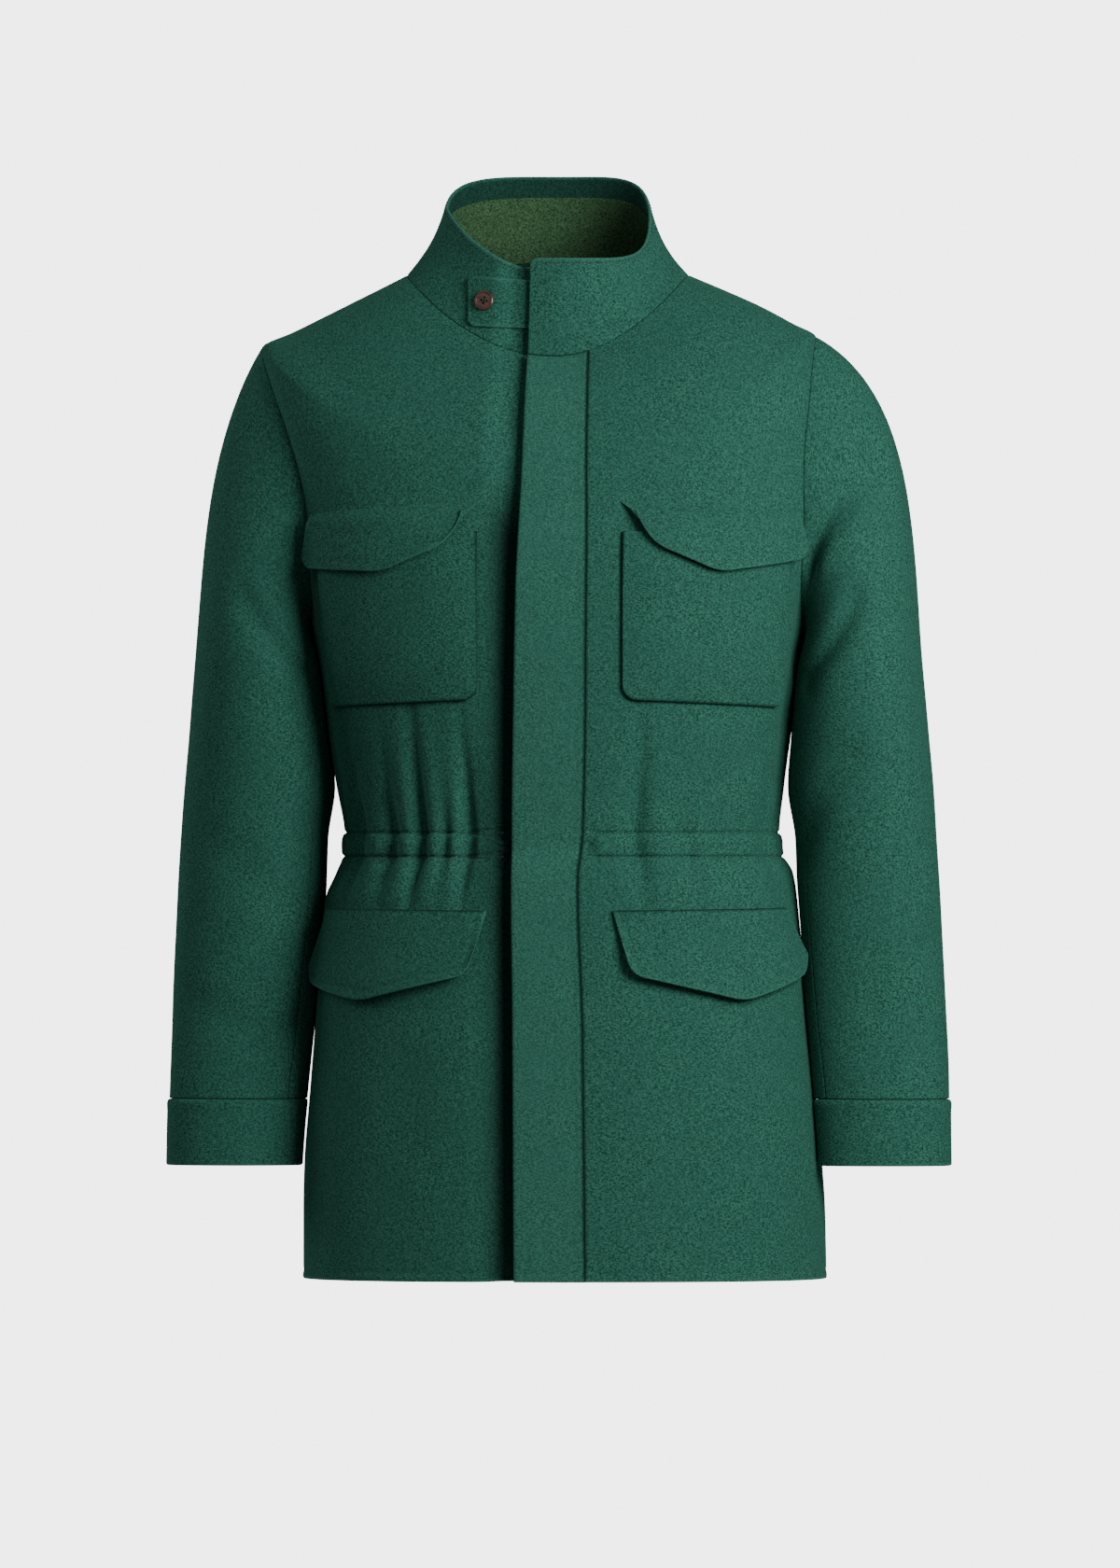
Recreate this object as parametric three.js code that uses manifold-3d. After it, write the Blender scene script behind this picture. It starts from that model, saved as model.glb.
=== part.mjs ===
// Field jacket in felted green wool: two fronts and a back drawn in at the waist, two-piece
// set-in sleeves with cuff bands, a stand collar closed by a buttoned tab, a placket, two patch
// pockets with flaps on the chest and two flapped pockets at the hips. It keeps the form that it
// has when worn, with nobody inside. Millimetres, +Z up, the front towards -Y and the wearer's
// left towards +X. The origin lies between the shoulders, level with the ends of the neck seam.
import * as THREE from 'three';
import { mergeVertices } from 'three/addons/utils/BufferGeometryUtils.js';
import Module from 'manifold-3d';

const wasm = await Module();
wasm.setup();

// Cloth
const WALL = 2.5;
const DOUBLE_WALL = 3.5;
const LINING_WALL = 1.2;
const HALF_SEAM = 0.15;
const LAID_ON = 0.7;
const FLAP_WALL = 3;
const FLAP_GAP = 1;
const DEEPEST_MITRE = 2.4;

// Body rings from the hem up to the neck seam. level is the ring's height at the side, left and
// right are its half widths, front and back its depths, frontLag and backLag say how much lower
// it runs at the middle of the front and of the back, tilt lifts the wearer's left, and square
// is 2 for an ellipse and more for fuller corners.
const RINGS = table(
  ['level', 'left', 'right', 'front', 'back', 'frontLag', 'backLag', 'tilt', 'square'],
  [-802, 214, 206, 150, 150, 0, 0, 0, 2.4],
  [-747, 213, 206, 149, 150, 0, 0, 0, 2.4],
  [-707, 210.5, 205, 148, 149, 0, 0, 0, 2.4],
  [-657, 206, 201.5, 147, 148, 0, 0, 0, 2.4],
  [-567, 197, 194, 143, 144, 0, 0, 0, 2.4],
  [-497, 190.5, 188, 138, 140, 0, 0, 0, 2.4],
  [-476, 187, 179.5, 135, 138, 0, 0, 0, 2.4],
  [-454, 175.5, 172, 127, 131, 0, 0, 0, 2.35],
  [-405, 180.5, 180, 130, 133, 0, 0, 0, 2.35],
  [-365, 185.5, 186, 134, 136, 0, 0, 0, 2.4],
  [-327, 190.5, 191, 138, 138, 0, 0, 0, 2.4],
  [-287, 196.5, 197.5, 141, 141, 4, 2, 0, 2.4],
  [-237, 205, 206, 142, 143, 14, 8, 0, 2.4],
  [-170, 213, 215, 139, 144, 45, 25, 0, 2.4],
  [-107, 212, 229, 131, 140, 76, 43, 2, 2.4],
  [-50, 206, 240, 127, 132, 98, 58, 4, 2.2],
  [-38, 187, 213, 122, 125, 93, 40, 3, 2.15],
  [-23, 161, 181, 111, 113, 82, 20, 2, 2.15],
  [4, 103, 123, 80, 72, 66, -10, 0, 2.05],
);
const HEM = -802;
const NECK = 4;
const WAIST = -454;

// Armhole: the levels of its ends, and how far its edge turns away from the side, in degrees
const ARMPIT = -287;
const SHOULDER = -50;
const ARMHOLE_FRONT = 17.5;
const ARMHOLE_BACK = 17;

// The rings turn sharply at the shoulder. Over this many millimetres of level each way they are
// evened out, most at the middle of the front and of the back and not at all at the side.
const EVENED = { reach: 30, from: -170, to: -90 };

// Cord channel at the waist, between two stitch lines. It starts beside the placket, at this girth
// from the middle of the front, and has its whole depth a little further out.
const CHANNEL = { low: -463, high: -444, puff: 3.5, dent: 1.2, stitch: 3, start: 30, full: 38 };

// Gathers at the waist. share is the place from the middle of the panel to the side seam, wide
// and deep are the trough's half width and depth, above and below how far it runs from the waist.
const GATHERS = table(
  ['panel', 'share', 'wide', 'deep', 'above', 'below'],
  ['right', 0.27, 6, 5, 75, 42],
  ['right', 0.345, 4.5, 2.5, 25, 20],
  ['right', 0.43, 6, 6, 85, 40],
  ['right', 0.545, 6, 5, 60, 38],
  ['right', 0.71, 8, 5, 60, 50],
  ['right', 0.87, 8, 4, 45, 45],
  ['left', 0.28, 8, 4.5, 90, 50],
  ['left', 0.44, 7, 4, 35, 50],
  ['left', 0.54, 9, 3.5, 85, 22],
  ['left', 0.63, 6, 2.5, 30, 22],
  ['left', 0.78, 8, 3.5, 45, 45],
  ['left', 0.9, 7, 3, 40, 45],
  ['back', -0.86, 9, 4.5, 60, 55],
  ['back', -0.68, 8, 5, 85, 50],
  ['back', -0.51, 7, 4, 45, 40],
  ['back', -0.36, 8, 5.5, 95, 55],
  ['back', -0.2, 7, 4, 50, 35],
  ['back', -0.05, 8, 5, 75, 50],
  ['back', 0.11, 7, 4.5, 60, 40],
  ['back', 0.27, 9, 5, 90, 60],
  ['back', 0.43, 7, 4, 40, 35],
  ['back', 0.57, 8, 5.5, 80, 50],
  ['back', 0.73, 7, 4, 55, 45],
  ['back', 0.88, 8, 4.5, 65, 50],
);

// Rows of the panels: the levels below the armhole, and steps over the armhole and the shoulder
const LOW_LEVELS = [
  HEM, -795, -747, -707, -657, -610, -567, -530, -497, -478, -467, -463, -458.5, -453.5, -448.5,
  -444, -439, -425, -405, -375, -345, -315,
];
const ARMHOLE_STEPS = 10;
const SHOULDER_STEPS = 4;

// Placket: its edges at each level, as girth from the middle of the front
const PLACKET = table(
  ['level', 'right', 'left'],
  [-802, -28, 29],
  [-600, -29.5, 26.5],
  [-483, -31, 22.3],
  [-444, -31, 25.8],
  [-330, -29, 28.5],
  [-170, -26, 29.5],
  [4, -21.5, 28],
);
const PLACKET_PROUD = 1.5;
const PLACKET_ROUND = 0.5;
const PLACKET_TOP = 0.7;

// The right front under the placket: the girths of its first columns, and how far it lies inside
const UNDERLAP = { columns: [14, -34, -42, -49, -57], sink: 7, from: -57, to: -34 };

// Sleeve rings, from just below the armpit to the cuff seam, then the cuff's lower edge. outer
// and inner are distances from the middle of the jacket, front and back are along Y. The ease
// makes one sleeve a little slimmer and the other a little wider above the wrist.
const SLEEVE = table(
  ['z', 'outer', 'inner', 'front', 'back'],
  [-711, 314.5, 206, -60, 26],
  [-657.5, 313.5, 202, -57, 32],
  [-585, 311.5, 194, -53, 44],
  [-495, 307.5, 189, -56, 60],
  [-450, 304.5, 188, -60, 66],
  [-405, 301.5, 182, -65, 71],
  [-360, 297.5, 184, -71, 75],
  [-315, 293.5, 187, -76, 77],
);
const SLEEVE_EASE = { left: -1.5, right: 0.8 };
const SLEEVE_SQUARE = 2.15;
const SLEEVE_REST = 1.2;
const SLEEVE_SOFT = 0.6;
const CAP_END = -315;
const CAP_LENGTH = 165;
const CUFF_SEAM = -657.5;
const CUFF_END = -711;
const CUFF_PROUD = 1.5;
const SLEEVE_SEAM = 144;
const SLEEVE_TURN = 18;

// How steeply each sleeve leaves the armhole, in degrees below level, at its top and underarm
const LEAVES = { left: { top: 28, under: 55 }, right: { top: 58, under: 55 } };

// Sleeve folds: soft troughs between two places, each an angle round the sleeve from its outer
// side over the front, and a distance along it from the armhole
const SLEEVE_FOLDS = table(
  ['side', 'angleFrom', 'alongFrom', 'angleTo', 'alongTo', 'wide', 'deep'],
  ['left', 70, 85, 125, 150, 11, 5],
  ['left', 95, 235, 150, 310, 12, 4],
  ['left', 285, 90, 235, 165, 14, 5],
  ['left', 300, 300, 240, 345, 13, 4],
  ['right', 80, 110, 125, 160, 12, 4],
  ['right', 285, 95, 240, 160, 14, 5],
  ['right', 295, 270, 235, 320, 13, 4],
);

// Collar: half widths, depths and heights of its top edge, how far its sides are drawn in halfway
// up, the angles of its two ends, the round of its corners, and its facing
const COLLAR = {
  left: 73, right: 92, front: 74, back: 64, zFront: 16, zUnder: 6, zLeft: 50, zRight: 60, zBack: 85,
  square: 2.1, drawn: 3.8, overEnd: -15, underEnd: 16, corner: 5, wall: 3, facing: 17, height: 72,
  liningGap: 1.7,
};

// Collar tab, by x and z on the under end of the collar, and its button
const TAB = {
  from: -69, to: -15, topFrom: 2, topTo: -2, lowFrom: -39, lowTo: -41, corner: 5, wall: 2.5, gap: 0.6,
};
const BUTTON = {
  x: -55, z: -18.5, radius: 8, thick: 3, edge: 0.6, rim: 1.3, dish: 0.9, hole: 0.95, spread: 1.7,
  gap: 0.4,
};

// Chest pockets: inner and outer are girth from the middle of the front
const CHEST_POCKET = {
  inner: 58, outer: 208, top: -204, lowInner: -338, lowOuter: -344, corner: 6, crown: 3,
};

// Flaps. Their upper and lower corners lie at these girths and heights, zOuterLow on the left and
// on the right. point is the lowest place of the lower edge and its share of the way out, round
// are its inner and outer corners, and lift is how far that edge stands off.
const CHEST_FLAP = {
  innerTop: 56, innerLow: 71, outerTop: 215, outerLow: 220, zInnerTop: -180, zOuterTop: -189,
  zInnerLow: -210, zPoint: -235.5, zOuterLow: [-223, -231], point: 0.42, round: [22, 10], lift: 3,
};
const HIP_FLAP = {
  innerTop: 50, innerLow: 62, outerTop: 214, outerLow: 242, zInnerTop: -506, zOuterTop: -504,
  zInnerLow: -557, zPoint: -579, zOuterLow: [-555, -563], point: 0.53, round: [12, 14], lift: 6,
};

// Finishes
const WOOL = { color: 0x2c6452, roughness: 0.95, metalness: 0 };
const LINING = { color: 0x33502f, roughness: 0.9, metalness: 0 };
const HORN = { color: 0x4a2f25, roughness: 0.4, metalness: 0 };

const jacket = new THREE.Group();
const LEFT = 1;
const RIGHT = -1;
const sideName = (side) => (side === LEFT ? 'left' : 'right');

// Tables and curves

function table(columns, ...rows) {
  return rows.map((row) => Object.fromEntries(columns.map((name, i) => [name, row[i]])));
}

function radians(degrees) {
  return degrees * Math.PI / 180;
}

function mix(a, b, share) {
  return a + (b - a) * share;
}

function smooth(from, to, value) {
  const share = Math.min(Math.max((value - from) / (to - from), 0), 1);
  return share * share * (3 - 2 * share);
}

function bell(distance, wide) {
  return Math.exp(-((distance / wide) ** 2));
}

// A curve through the values that never overshoots them: the slope at each is the harmonic mean
// of the slopes beside it, or level where these differ in sign
function gentleCurve(places, values) {
  const last = places.length - 1;
  const rise = places.slice(1).map((place, i) => (values[i + 1] - values[i]) / (place - places[i]));
  const slopes = places.map((_, i) => {
    if (i === 0) return rise[0];
    if (i === last) return rise[last - 1];
    return rise[i - 1] * rise[i] <= 0 ? 0 : 2 / (1 / rise[i - 1] + 1 / rise[i]);
  });
  return (place) => {
    let i = 0;
    while (i < last - 1 && place > places[i + 1]) i += 1;
    const span = places[i + 1] - places[i];
    const t = Math.min(Math.max((place - places[i]) / span, 0), 1);
    return hermite(values[i], values[i + 1], slopes[i] * span, slopes[i + 1] * span, t);
  };
}

function hermite(start, end, leaving, arriving, t) {
  const square = t * t;
  const cube = square * t;
  return (2 * cube - 3 * square + 1) * start + (cube - 2 * square + t) * leaving
    + (3 * square - 2 * cube) * end + (cube - square) * arriving;
}

function curves(rows, along) {
  const places = rows.map((row) => row[along]);
  const names = Object.keys(rows[0]).filter((name) => name !== along);
  const tracks = names.map((name) => gentleCurve(places, rows.map((row) => row[name])));
  return (place) => Object.fromEntries(names.map((name, i) => [name, tracks[i](place)]));
}

function range(from, to, steps) {
  return Array.from({ length: steps + 1 }, (_, i) => mix(from, to, i / steps));
}

// Body surface, by level and by girth from the middle of the front

const ringTracks = curves(RINGS, 'level');
const placketEdges = curves(PLACKET, 'level');
const GIRTH_STEPS = 90;
const knownShapes = new Map();
const knownRings = new Map();

function known(store, level, make) {
  const key = level.toFixed(4);
  if (!store.has(key)) store.set(key, make());
  return store.get(key);
}

function ringShape(level) {
  return known(knownShapes, level, () => ringTracks(level));
}

function reachOf(across, ahead, wide, deep, square) {
  return (Math.abs(across / wide) ** square + Math.abs(ahead / deep) ** square) ** (-1 / square);
}

// angle is 0 at the middle of the front, 90 degrees at the wearer's left, 180 at the back
function plainRingPoint(level, angle) {
  const shape = ringShape(level);
  const across = Math.sin(angle);
  const ahead = Math.cos(angle);
  const wide = across > 0 ? shape.left : shape.right;
  const deep = ahead > 0 ? shape.front : shape.back;
  const lag = ahead > 0 ? shape.frontLag : shape.backLag;
  const reach = reachOf(across, ahead, wide, deep, shape.square);
  const x = across * reach;
  const y = -ahead * reach;
  return new THREE.Vector3(x, y, level - lag * (y / deep) ** 2 + shape.tilt * x / wide);
}

function ringPoint(level, angle) {
  const spread = EVENED.reach * Math.cos(angle) ** 2 * smooth(EVENED.from, EVENED.to, level);
  const reach = Math.min(spread, NECK - level);
  if (reach <= 0) return plainRingPoint(level, angle);
  const point = new THREE.Vector3();
  const parts = [[-1, 0.125], [-0.5, 0.25], [0, 0.25], [0.5, 0.25], [1, 0.125]];
  for (const [part, share] of parts) {
    point.addScaledVector(plainRingPoint(level + part * reach, angle), share);
  }
  return point;
}

function ringRuns(level) {
  return known(knownRings, level, () => {
    const runs = {};
    for (const side of [LEFT, RIGHT]) {
      const points = range(0, side * Math.PI, GIRTH_STEPS).map((angle) => ringPoint(level, angle));
      runs[side] = [0];
      for (let i = 1; i <= GIRTH_STEPS; i += 1) {
        runs[side].push(runs[side][i - 1] + points[i].distanceTo(points[i - 1]));
      }
    }
    return runs;
  });
}

function girthTo(level, angle) {
  const run = ringRuns(level)[angle < 0 ? RIGHT : LEFT];
  const place = Math.abs(angle) / Math.PI * GIRTH_STEPS;
  const i = Math.min(Math.floor(place), GIRTH_STEPS - 1);
  return Math.sign(angle) * mix(run[i], run[i + 1], place - i);
}

function angleAt(level, girth) {
  const side = girth < 0 ? RIGHT : LEFT;
  const run = ringRuns(level)[side];
  const far = Math.abs(girth);
  let i = 0;
  while (i < GIRTH_STEPS - 1 && run[i + 1] < far) i += 1;
  return side * (i + (far - run[i]) / (run[i + 1] - run[i])) * Math.PI / GIRTH_STEPS;
}

const quarterTurn = Math.PI / 2;

// Which panel a girth lies on, and its share of the way from the panel's middle to the side seam
function panelShare(level, girth) {
  const side = girth < 0 ? RIGHT : LEFT;
  const toSide = Math.abs(girthTo(level, side * quarterTurn));
  const toBack = Math.abs(girthTo(level, side * Math.PI));
  const far = Math.abs(girth);
  if (far <= toSide) return { panel: sideName(side), share: far / toSide, length: toSide };
  return { panel: 'back', share: side * (toBack - far) / (toBack - toSide), length: toBack - toSide };
}

function relief(level, girth) {
  const { panel, share, length } = panelShare(level, girth);
  const above = Math.max(level - WAIST, 0);
  const below = Math.max(WAIST - level, 0);
  let out = 0;
  for (const gather of GATHERS) {
    if (gather.panel !== panel) continue;
    const reach = bell(above, gather.above) * bell(below, gather.below);
    out -= gather.deep * reach * bell((share - gather.share) * length, gather.wide);
  }
  const inChannel = (level - CHANNEL.low) / (CHANNEL.high - CHANNEL.low);
  const edge = panel === 'back' ? 1 : smooth(CHANNEL.start, CHANNEL.full, Math.abs(girth));
  if (inChannel > 0 && inChannel < 1) out += edge * CHANNEL.puff * Math.sin(Math.PI * inChannel) ** 0.7;
  for (const line of [CHANNEL.low, CHANNEL.high]) {
    out -= edge * CHANNEL.dent * bell(level - line, CHANNEL.stitch);
  }
  return out;
}

// The body surface without gathers and channel, moved out level by some distance
function plainBody(level, girth, out) {
  const shape = ringShape(level);
  const point = ringPoint(level, angleAt(level, girth));
  const wide = point.x > 0 ? shape.left : shape.right;
  const deep = point.y < 0 ? shape.front : shape.back;
  const power = shape.square - 1;
  const outward = new THREE.Vector3(
    Math.sign(point.x) * Math.abs(point.x / wide) ** power / wide,
    Math.sign(point.y) * Math.abs(point.y / deep) ** power / deep,
    0,
  ).normalize();
  return point.addScaledVector(outward, out);
}

function bodyPoint(level, girth) {
  return plainBody(level, girth, relief(level, girth));
}

// The outward direction of a surface given by two numbers, from small steps both ways
function normalOf(surface, a, b, stepA, stepB, lowA, highA) {
  const alongA = surface(Math.min(a + stepA, highA), b).sub(surface(Math.max(a - stepA, lowA), b));
  const alongB = surface(a, b + stepB).sub(surface(a, b - stepB));
  return alongB.cross(alongA).normalize();
}

function bodyNormal(level, girth) {
  return normalOf(bodyPoint, level, girth, 1, 1, HEM, NECK);
}

function onBody(level, girth, out) {
  return bodyPoint(level, girth).addScaledVector(bodyNormal(level, girth), out);
}

// The level where the body surface reaches a height, at a girth
function levelAt(height, girth) {
  const step = 5;
  let low = HEM;
  let lowZ = bodyPoint(low, girth).z;
  while (low + step <= NECK) {
    const highZ = bodyPoint(low + step, girth).z;
    if (highZ >= height) return low + step * (height - lowZ) / (highZ - lowZ);
    low += step;
    lowZ = highZ;
  }
  return NECK;
}

// Armhole and sleeve. around is 0 at the top of the armhole, 90 at its front, 180 underarm.

const sleeveShape = curves(SLEEVE, 'z');

function armholePlace(side, around) {
  const level = mix(ARMPIT, SHOULDER, (1 + Math.cos(radians(around))) / 2);
  const swing = Math.sin(radians(around));
  const turn = 90 - swing * (swing > 0 ? ARMHOLE_FRONT : ARMHOLE_BACK);
  return { level, girth: girthTo(level, side * radians(turn)) };
}

function sleeveRing(side, around, z) {
  const ring = sleeveShape(z);
  const middleX = (ring.outer + ring.inner) / 2;
  const middleY = (ring.front + ring.back) / 2;
  const out = Math.cos(radians(around));
  const ahead = Math.sin(radians(around));
  const ease = SLEEVE_EASE[sideName(side)] * smooth(CUFF_SEAM, CUFF_SEAM + 120, z);
  const wide = (ring.outer - ring.inner) / 2 + ease;
  const deep = (ring.back - ring.front) / 2;
  const reach = reachOf(out, ahead, wide, deep, SLEEVE_SQUARE);
  return new THREE.Vector3(side * (middleX + out * reach), middleY - ahead * reach, z);
}

function sleeveRelief(side, around, along) {
  const turn = ((around % 360) + 360) % 360;
  const perDegree = 1.15;
  let out = 0;
  for (const fold of SLEEVE_FOLDS) {
    if (fold.side !== sideName(side)) continue;
    const from = new THREE.Vector2(fold.angleFrom * perDegree, fold.alongFrom);
    const run = new THREE.Vector2(fold.angleTo * perDegree, fold.alongTo).sub(from);
    const here = new THREE.Vector2(turn * perDegree, along).sub(from);
    const share = Math.min(Math.max(here.dot(run) / run.lengthSq(), 0), 1);
    out -= fold.deep * bell(here.addScaledVector(run, -share).length(), fold.wide);
  }
  return out;
}

// along is the distance from the armhole: the cap is a curve from the armhole to the first ring
// that leaves the armhole at its own slope, and below it the rings follow straight down
function sleeveBare(side, around, along) {
  if (along > CAP_LENGTH) return sleeveRing(side, around, CAP_END - (along - CAP_LENGTH));
  const place = armholePlace(side, around);
  const start = bodyPoint(place.level, place.girth);
  const end = sleeveRing(side, around, CAP_END);
  const below = sleeveRing(side, around, CAP_END - 1);
  const length = start.distanceTo(end);
  const slopes = LEAVES[sideName(side)];
  const slope = radians(mix(slopes.under, slopes.top, (1 + Math.cos(radians(around))) / 2));
  const leaving = new THREE.Vector3(side * Math.cos(slope), 0, -Math.sin(slope)).multiplyScalar(length);
  const arriving = below.sub(end).normalize().multiplyScalar(length);
  const t = Math.max(along, 0) / CAP_LENGTH;
  return new THREE.Vector3(
    hermite(start.x, end.x, leaving.x, arriving.x, t),
    hermite(start.y, end.y, leaving.y, arriving.y, t),
    hermite(start.z, end.z, leaving.z, arriving.z, t),
  );
}

// Where a sleeve would reach into the body's side it rests against it
function restOnBody(side, point) {
  const shape = ringShape(point.z);
  const deep = point.y < 0 ? shape.front : shape.back;
  const wide = side === LEFT ? shape.left : shape.right;
  const room = Math.max(1 - Math.abs(point.y / deep) ** shape.square, 0);
  const least = wide * room ** (1 / shape.square) + SLEEVE_REST;
  const over = least - side * point.x;
  const push = SLEEVE_SOFT * Math.log(1 + Math.exp(over / SLEEVE_SOFT));
  return point.setX(point.x + side * push * smooth(0, 12, ARMPIT - point.z));
}

function sleevePoint(side, around, along) {
  const surface = (a, b) => sleeveBare(side, b, a);
  const out = sleeveRelief(side, around, along);
  const point = sleeveBare(side, around, along);
  if (Math.abs(out) > 0.01) point.addScaledVector(sleeveFacing(surface, side, along, around), out);
  return restOnBody(side, point);
}

function sleeveFacing(surface, side, along, around) {
  return normalOf(surface, along, around, 1, 1, 0, 1000).multiplyScalar(side);
}

function sleeveNormal(side, around, along) {
  return sleeveFacing((a, b) => sleevePoint(side, b, a), side, along, around);
}

// Where two walls meet at a seam, both end on the plane that halves the corner between them
function mitre(one, other) {
  const middle = one.clone().add(other).normalize();
  const stretch = Math.min(1 / Math.max(middle.dot(one), 0.01), DEEPEST_MITRE);
  return middle.multiplyScalar(stretch);
}

function armholeMitre(side, around) {
  const place = armholePlace(side, around);
  return mitre(bodyNormal(place.level, place.girth), sleeveNormal(side, around, 0));
}

// Solids: a wall between a grid of outer points and the same grid moved in. The strips round its
// edge are split along the shorter diagonal, so that both sides of a seam bend alike.

function solid(name, geometry, finish) {
  geometry.computeVertexNormals();
  const mesh = new THREE.Mesh(geometry, new THREE.MeshStandardMaterial(finish));
  mesh.name = name;
  jacket.add(mesh);
  return mesh;
}

function wall(name, rows, columns, pairAt, finish, closed = false) {
  const points = [];
  const faces = [];
  const across = columns.length;
  const skins = { outer: [], inner: [] };
  for (const [i, row] of rows.entries()) {
    for (const [j, column] of columns.entries()) {
      const { outer, inner } = pairAt(row, column, i, j);
      skins.outer.push(points.push(outer) - 1);
      skins.inner.push(points.push(inner) - 1);
    }
  }
  const corner = (skin, i, j) => skins[skin][i * across + (j % across)];
  const quad = (a, b, c, d) => faces.push([a, b, c], [a, c, d]);
  const lastRow = rows.length - 1;
  const lastColumn = closed ? across : across - 1;
  for (let i = 0; i < lastRow; i += 1) {
    for (let j = 0; j < lastColumn; j += 1) {
      const square = [[i, j], [i, j + 1], [i + 1, j + 1], [i + 1, j]];
      quad(...square.map(([r, c]) => corner('outer', r, c)));
      quad(...square.map(([r, c]) => corner('inner', r, c)).reverse());
    }
  }
  const edge = (from, to) => {
    const [a, b] = [corner('outer', ...to), corner('outer', ...from)];
    const [c, d] = [corner('inner', ...from), corner('inner', ...to)];
    if (points[a].distanceTo(points[c]) < points[b].distanceTo(points[d])) quad(a, b, c, d);
    else quad(b, c, d, a);
  };
  for (let j = 0; j < lastColumn; j += 1) {
    edge([0, j], [0, j + 1]);
    edge([lastRow, j + 1], [lastRow, j]);
  }
  for (let i = 0; i < lastRow && !closed; i += 1) {
    edge([i + 1, 0], [i, 0]);
    edge([i, lastColumn], [i + 1, lastColumn]);
  }
  const volume = faces.reduce(
    (sum, [a, b, c]) => sum + points[a].dot(points[b].clone().cross(points[c])), 0,
  );
  const geometry = new THREE.BufferGeometry().setFromPoints(points);
  geometry.setIndex(faces.flatMap(([a, b, c]) => (volume > 0 ? [a, b, c] : [a, c, b])));
  solid(name, geometry, finish);
}

// Fronts and back

const armholeTurns = range(180, 0, ARMHOLE_STEPS);
const FRONT_START = { [LEFT]: 0.12, [RIGHT]: 0.23 };
const shoulderLevels = range(SHOULDER, NECK, SHOULDER_STEPS).slice(1);
const panelRows = [
  ...LOW_LEVELS.map((level) => ({ level })),
  ...armholeTurns.map((around) => ({ around, level: armholePlace(LEFT, around).level })),
  ...shoulderLevels.map((level) => ({ level })),
];

// The girth of a panel's outer edge in a row, on the armhole or on the side or shoulder seam
function edgeGirth(row, side, isBack) {
  if (row.around === undefined) return girthTo(row.level, side * quarterTurn);
  return armholePlace(side, isBack ? -row.around : row.around).girth;
}

// The way in through the wall at a place of the body, mitred at the armhole and at the neck
function wayIn(row, girth, side, isBack, onEdge) {
  if (row.level === NECK) return neckMitre(angleAt(NECK, girth));
  if (onEdge && row.around !== undefined) return armholeMitre(side, isBack ? -row.around : row.around);
  return bodyNormal(row.level, girth);
}

// Shares of a panel's width at the bottom of each gather and between them
function gatherShares(panel, first, last, widest) {
  const troughs = GATHERS.filter((gather) => gather.panel === panel).map((gather) => gather.share);
  const stops = [first, ...troughs.filter((share) => share > first + 0.05), last];
  return stops.slice(1).flatMap((stop, i) => {
    const parts = Math.max(2, Math.ceil((stop - stops[i]) / widest));
    return range(stops[i], stop, parts).slice(1);
  });
}

function sinkUnder(girth) {
  return -UNDERLAP.sink * smooth(UNDERLAP.from, UNDERLAP.to, girth);
}

// The first columns of each front have a girth of their own and the others a share of what is left
function makeFront(side) {
  const near = side === LEFT ? [HALF_SEAM] : UNDERLAP.columns;
  const shares = gatherShares(sideName(side), FRONT_START[side], 1, 0.09);
  const columns = [...near, ...shares];
  const pairAt = (row, column, i, j) => {
    const onEdge = j === columns.length - 1;
    const end = edgeGirth(row, side, false) - side * HALF_SEAM;
    const base = side === LEFT ? placketEdges(row.level).left : 0;
    const start = base + near.at(-1);
    const place = (column - FRONT_START[side]) / (1 - FRONT_START[side]);
    const girth = j < near.length ? base + column : mix(start, end, place);
    const level = row.level === NECK ? NECK - HALF_SEAM : row.level;
    const outer = onBody(level, girth, side === RIGHT ? sinkUnder(girth) : 0);
    return { outer, inner: outer.clone().addScaledVector(wayIn(row, girth, side, false, onEdge), -WALL) };
  };
  wall(`front_${sideName(side)}`, panelRows, columns, pairAt, WOOL);
}

function makeBack() {
  const shares = [-1, ...gatherShares('back', -1, 1, 0.1)];
  const pairAt = (row, share, i, j) => {
    const side = share < 0 ? RIGHT : LEFT;
    const onEdge = Math.abs(share) === 1;
    const middle = girthTo(row.level, side * Math.PI);
    const end = edgeGirth(row, side, true) + side * HALF_SEAM;
    const girth = mix(middle, end, Math.abs(share));
    const level = row.level === NECK ? NECK - HALF_SEAM : row.level;
    const outer = bodyPoint(level, girth);
    const way = wayIn(row, girth, side, true, onEdge);
    return { outer, inner: outer.clone().addScaledVector(way, -WALL) };
  };
  wall('back', panelRows, shares, pairAt, WOOL);
}

// Sleeves and cuffs

const capRows = [0, 0.08, 0.22, 0.4, 0.6, 0.8, 1].map((share) => share * CAP_LENGTH);
const sleeveLength = CAP_LENGTH + CAP_END - CUFF_SEAM;
const cuffLength = CAP_LENGTH + CAP_END - CUFF_END;

// The first and last turns of a sleeve panel, drawn in by half the seam
function seamed(turns) {
  const gap = 0.25;
  return [turns[0] + gap, ...turns.slice(1, -1), turns.at(-1) - gap];
}

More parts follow.
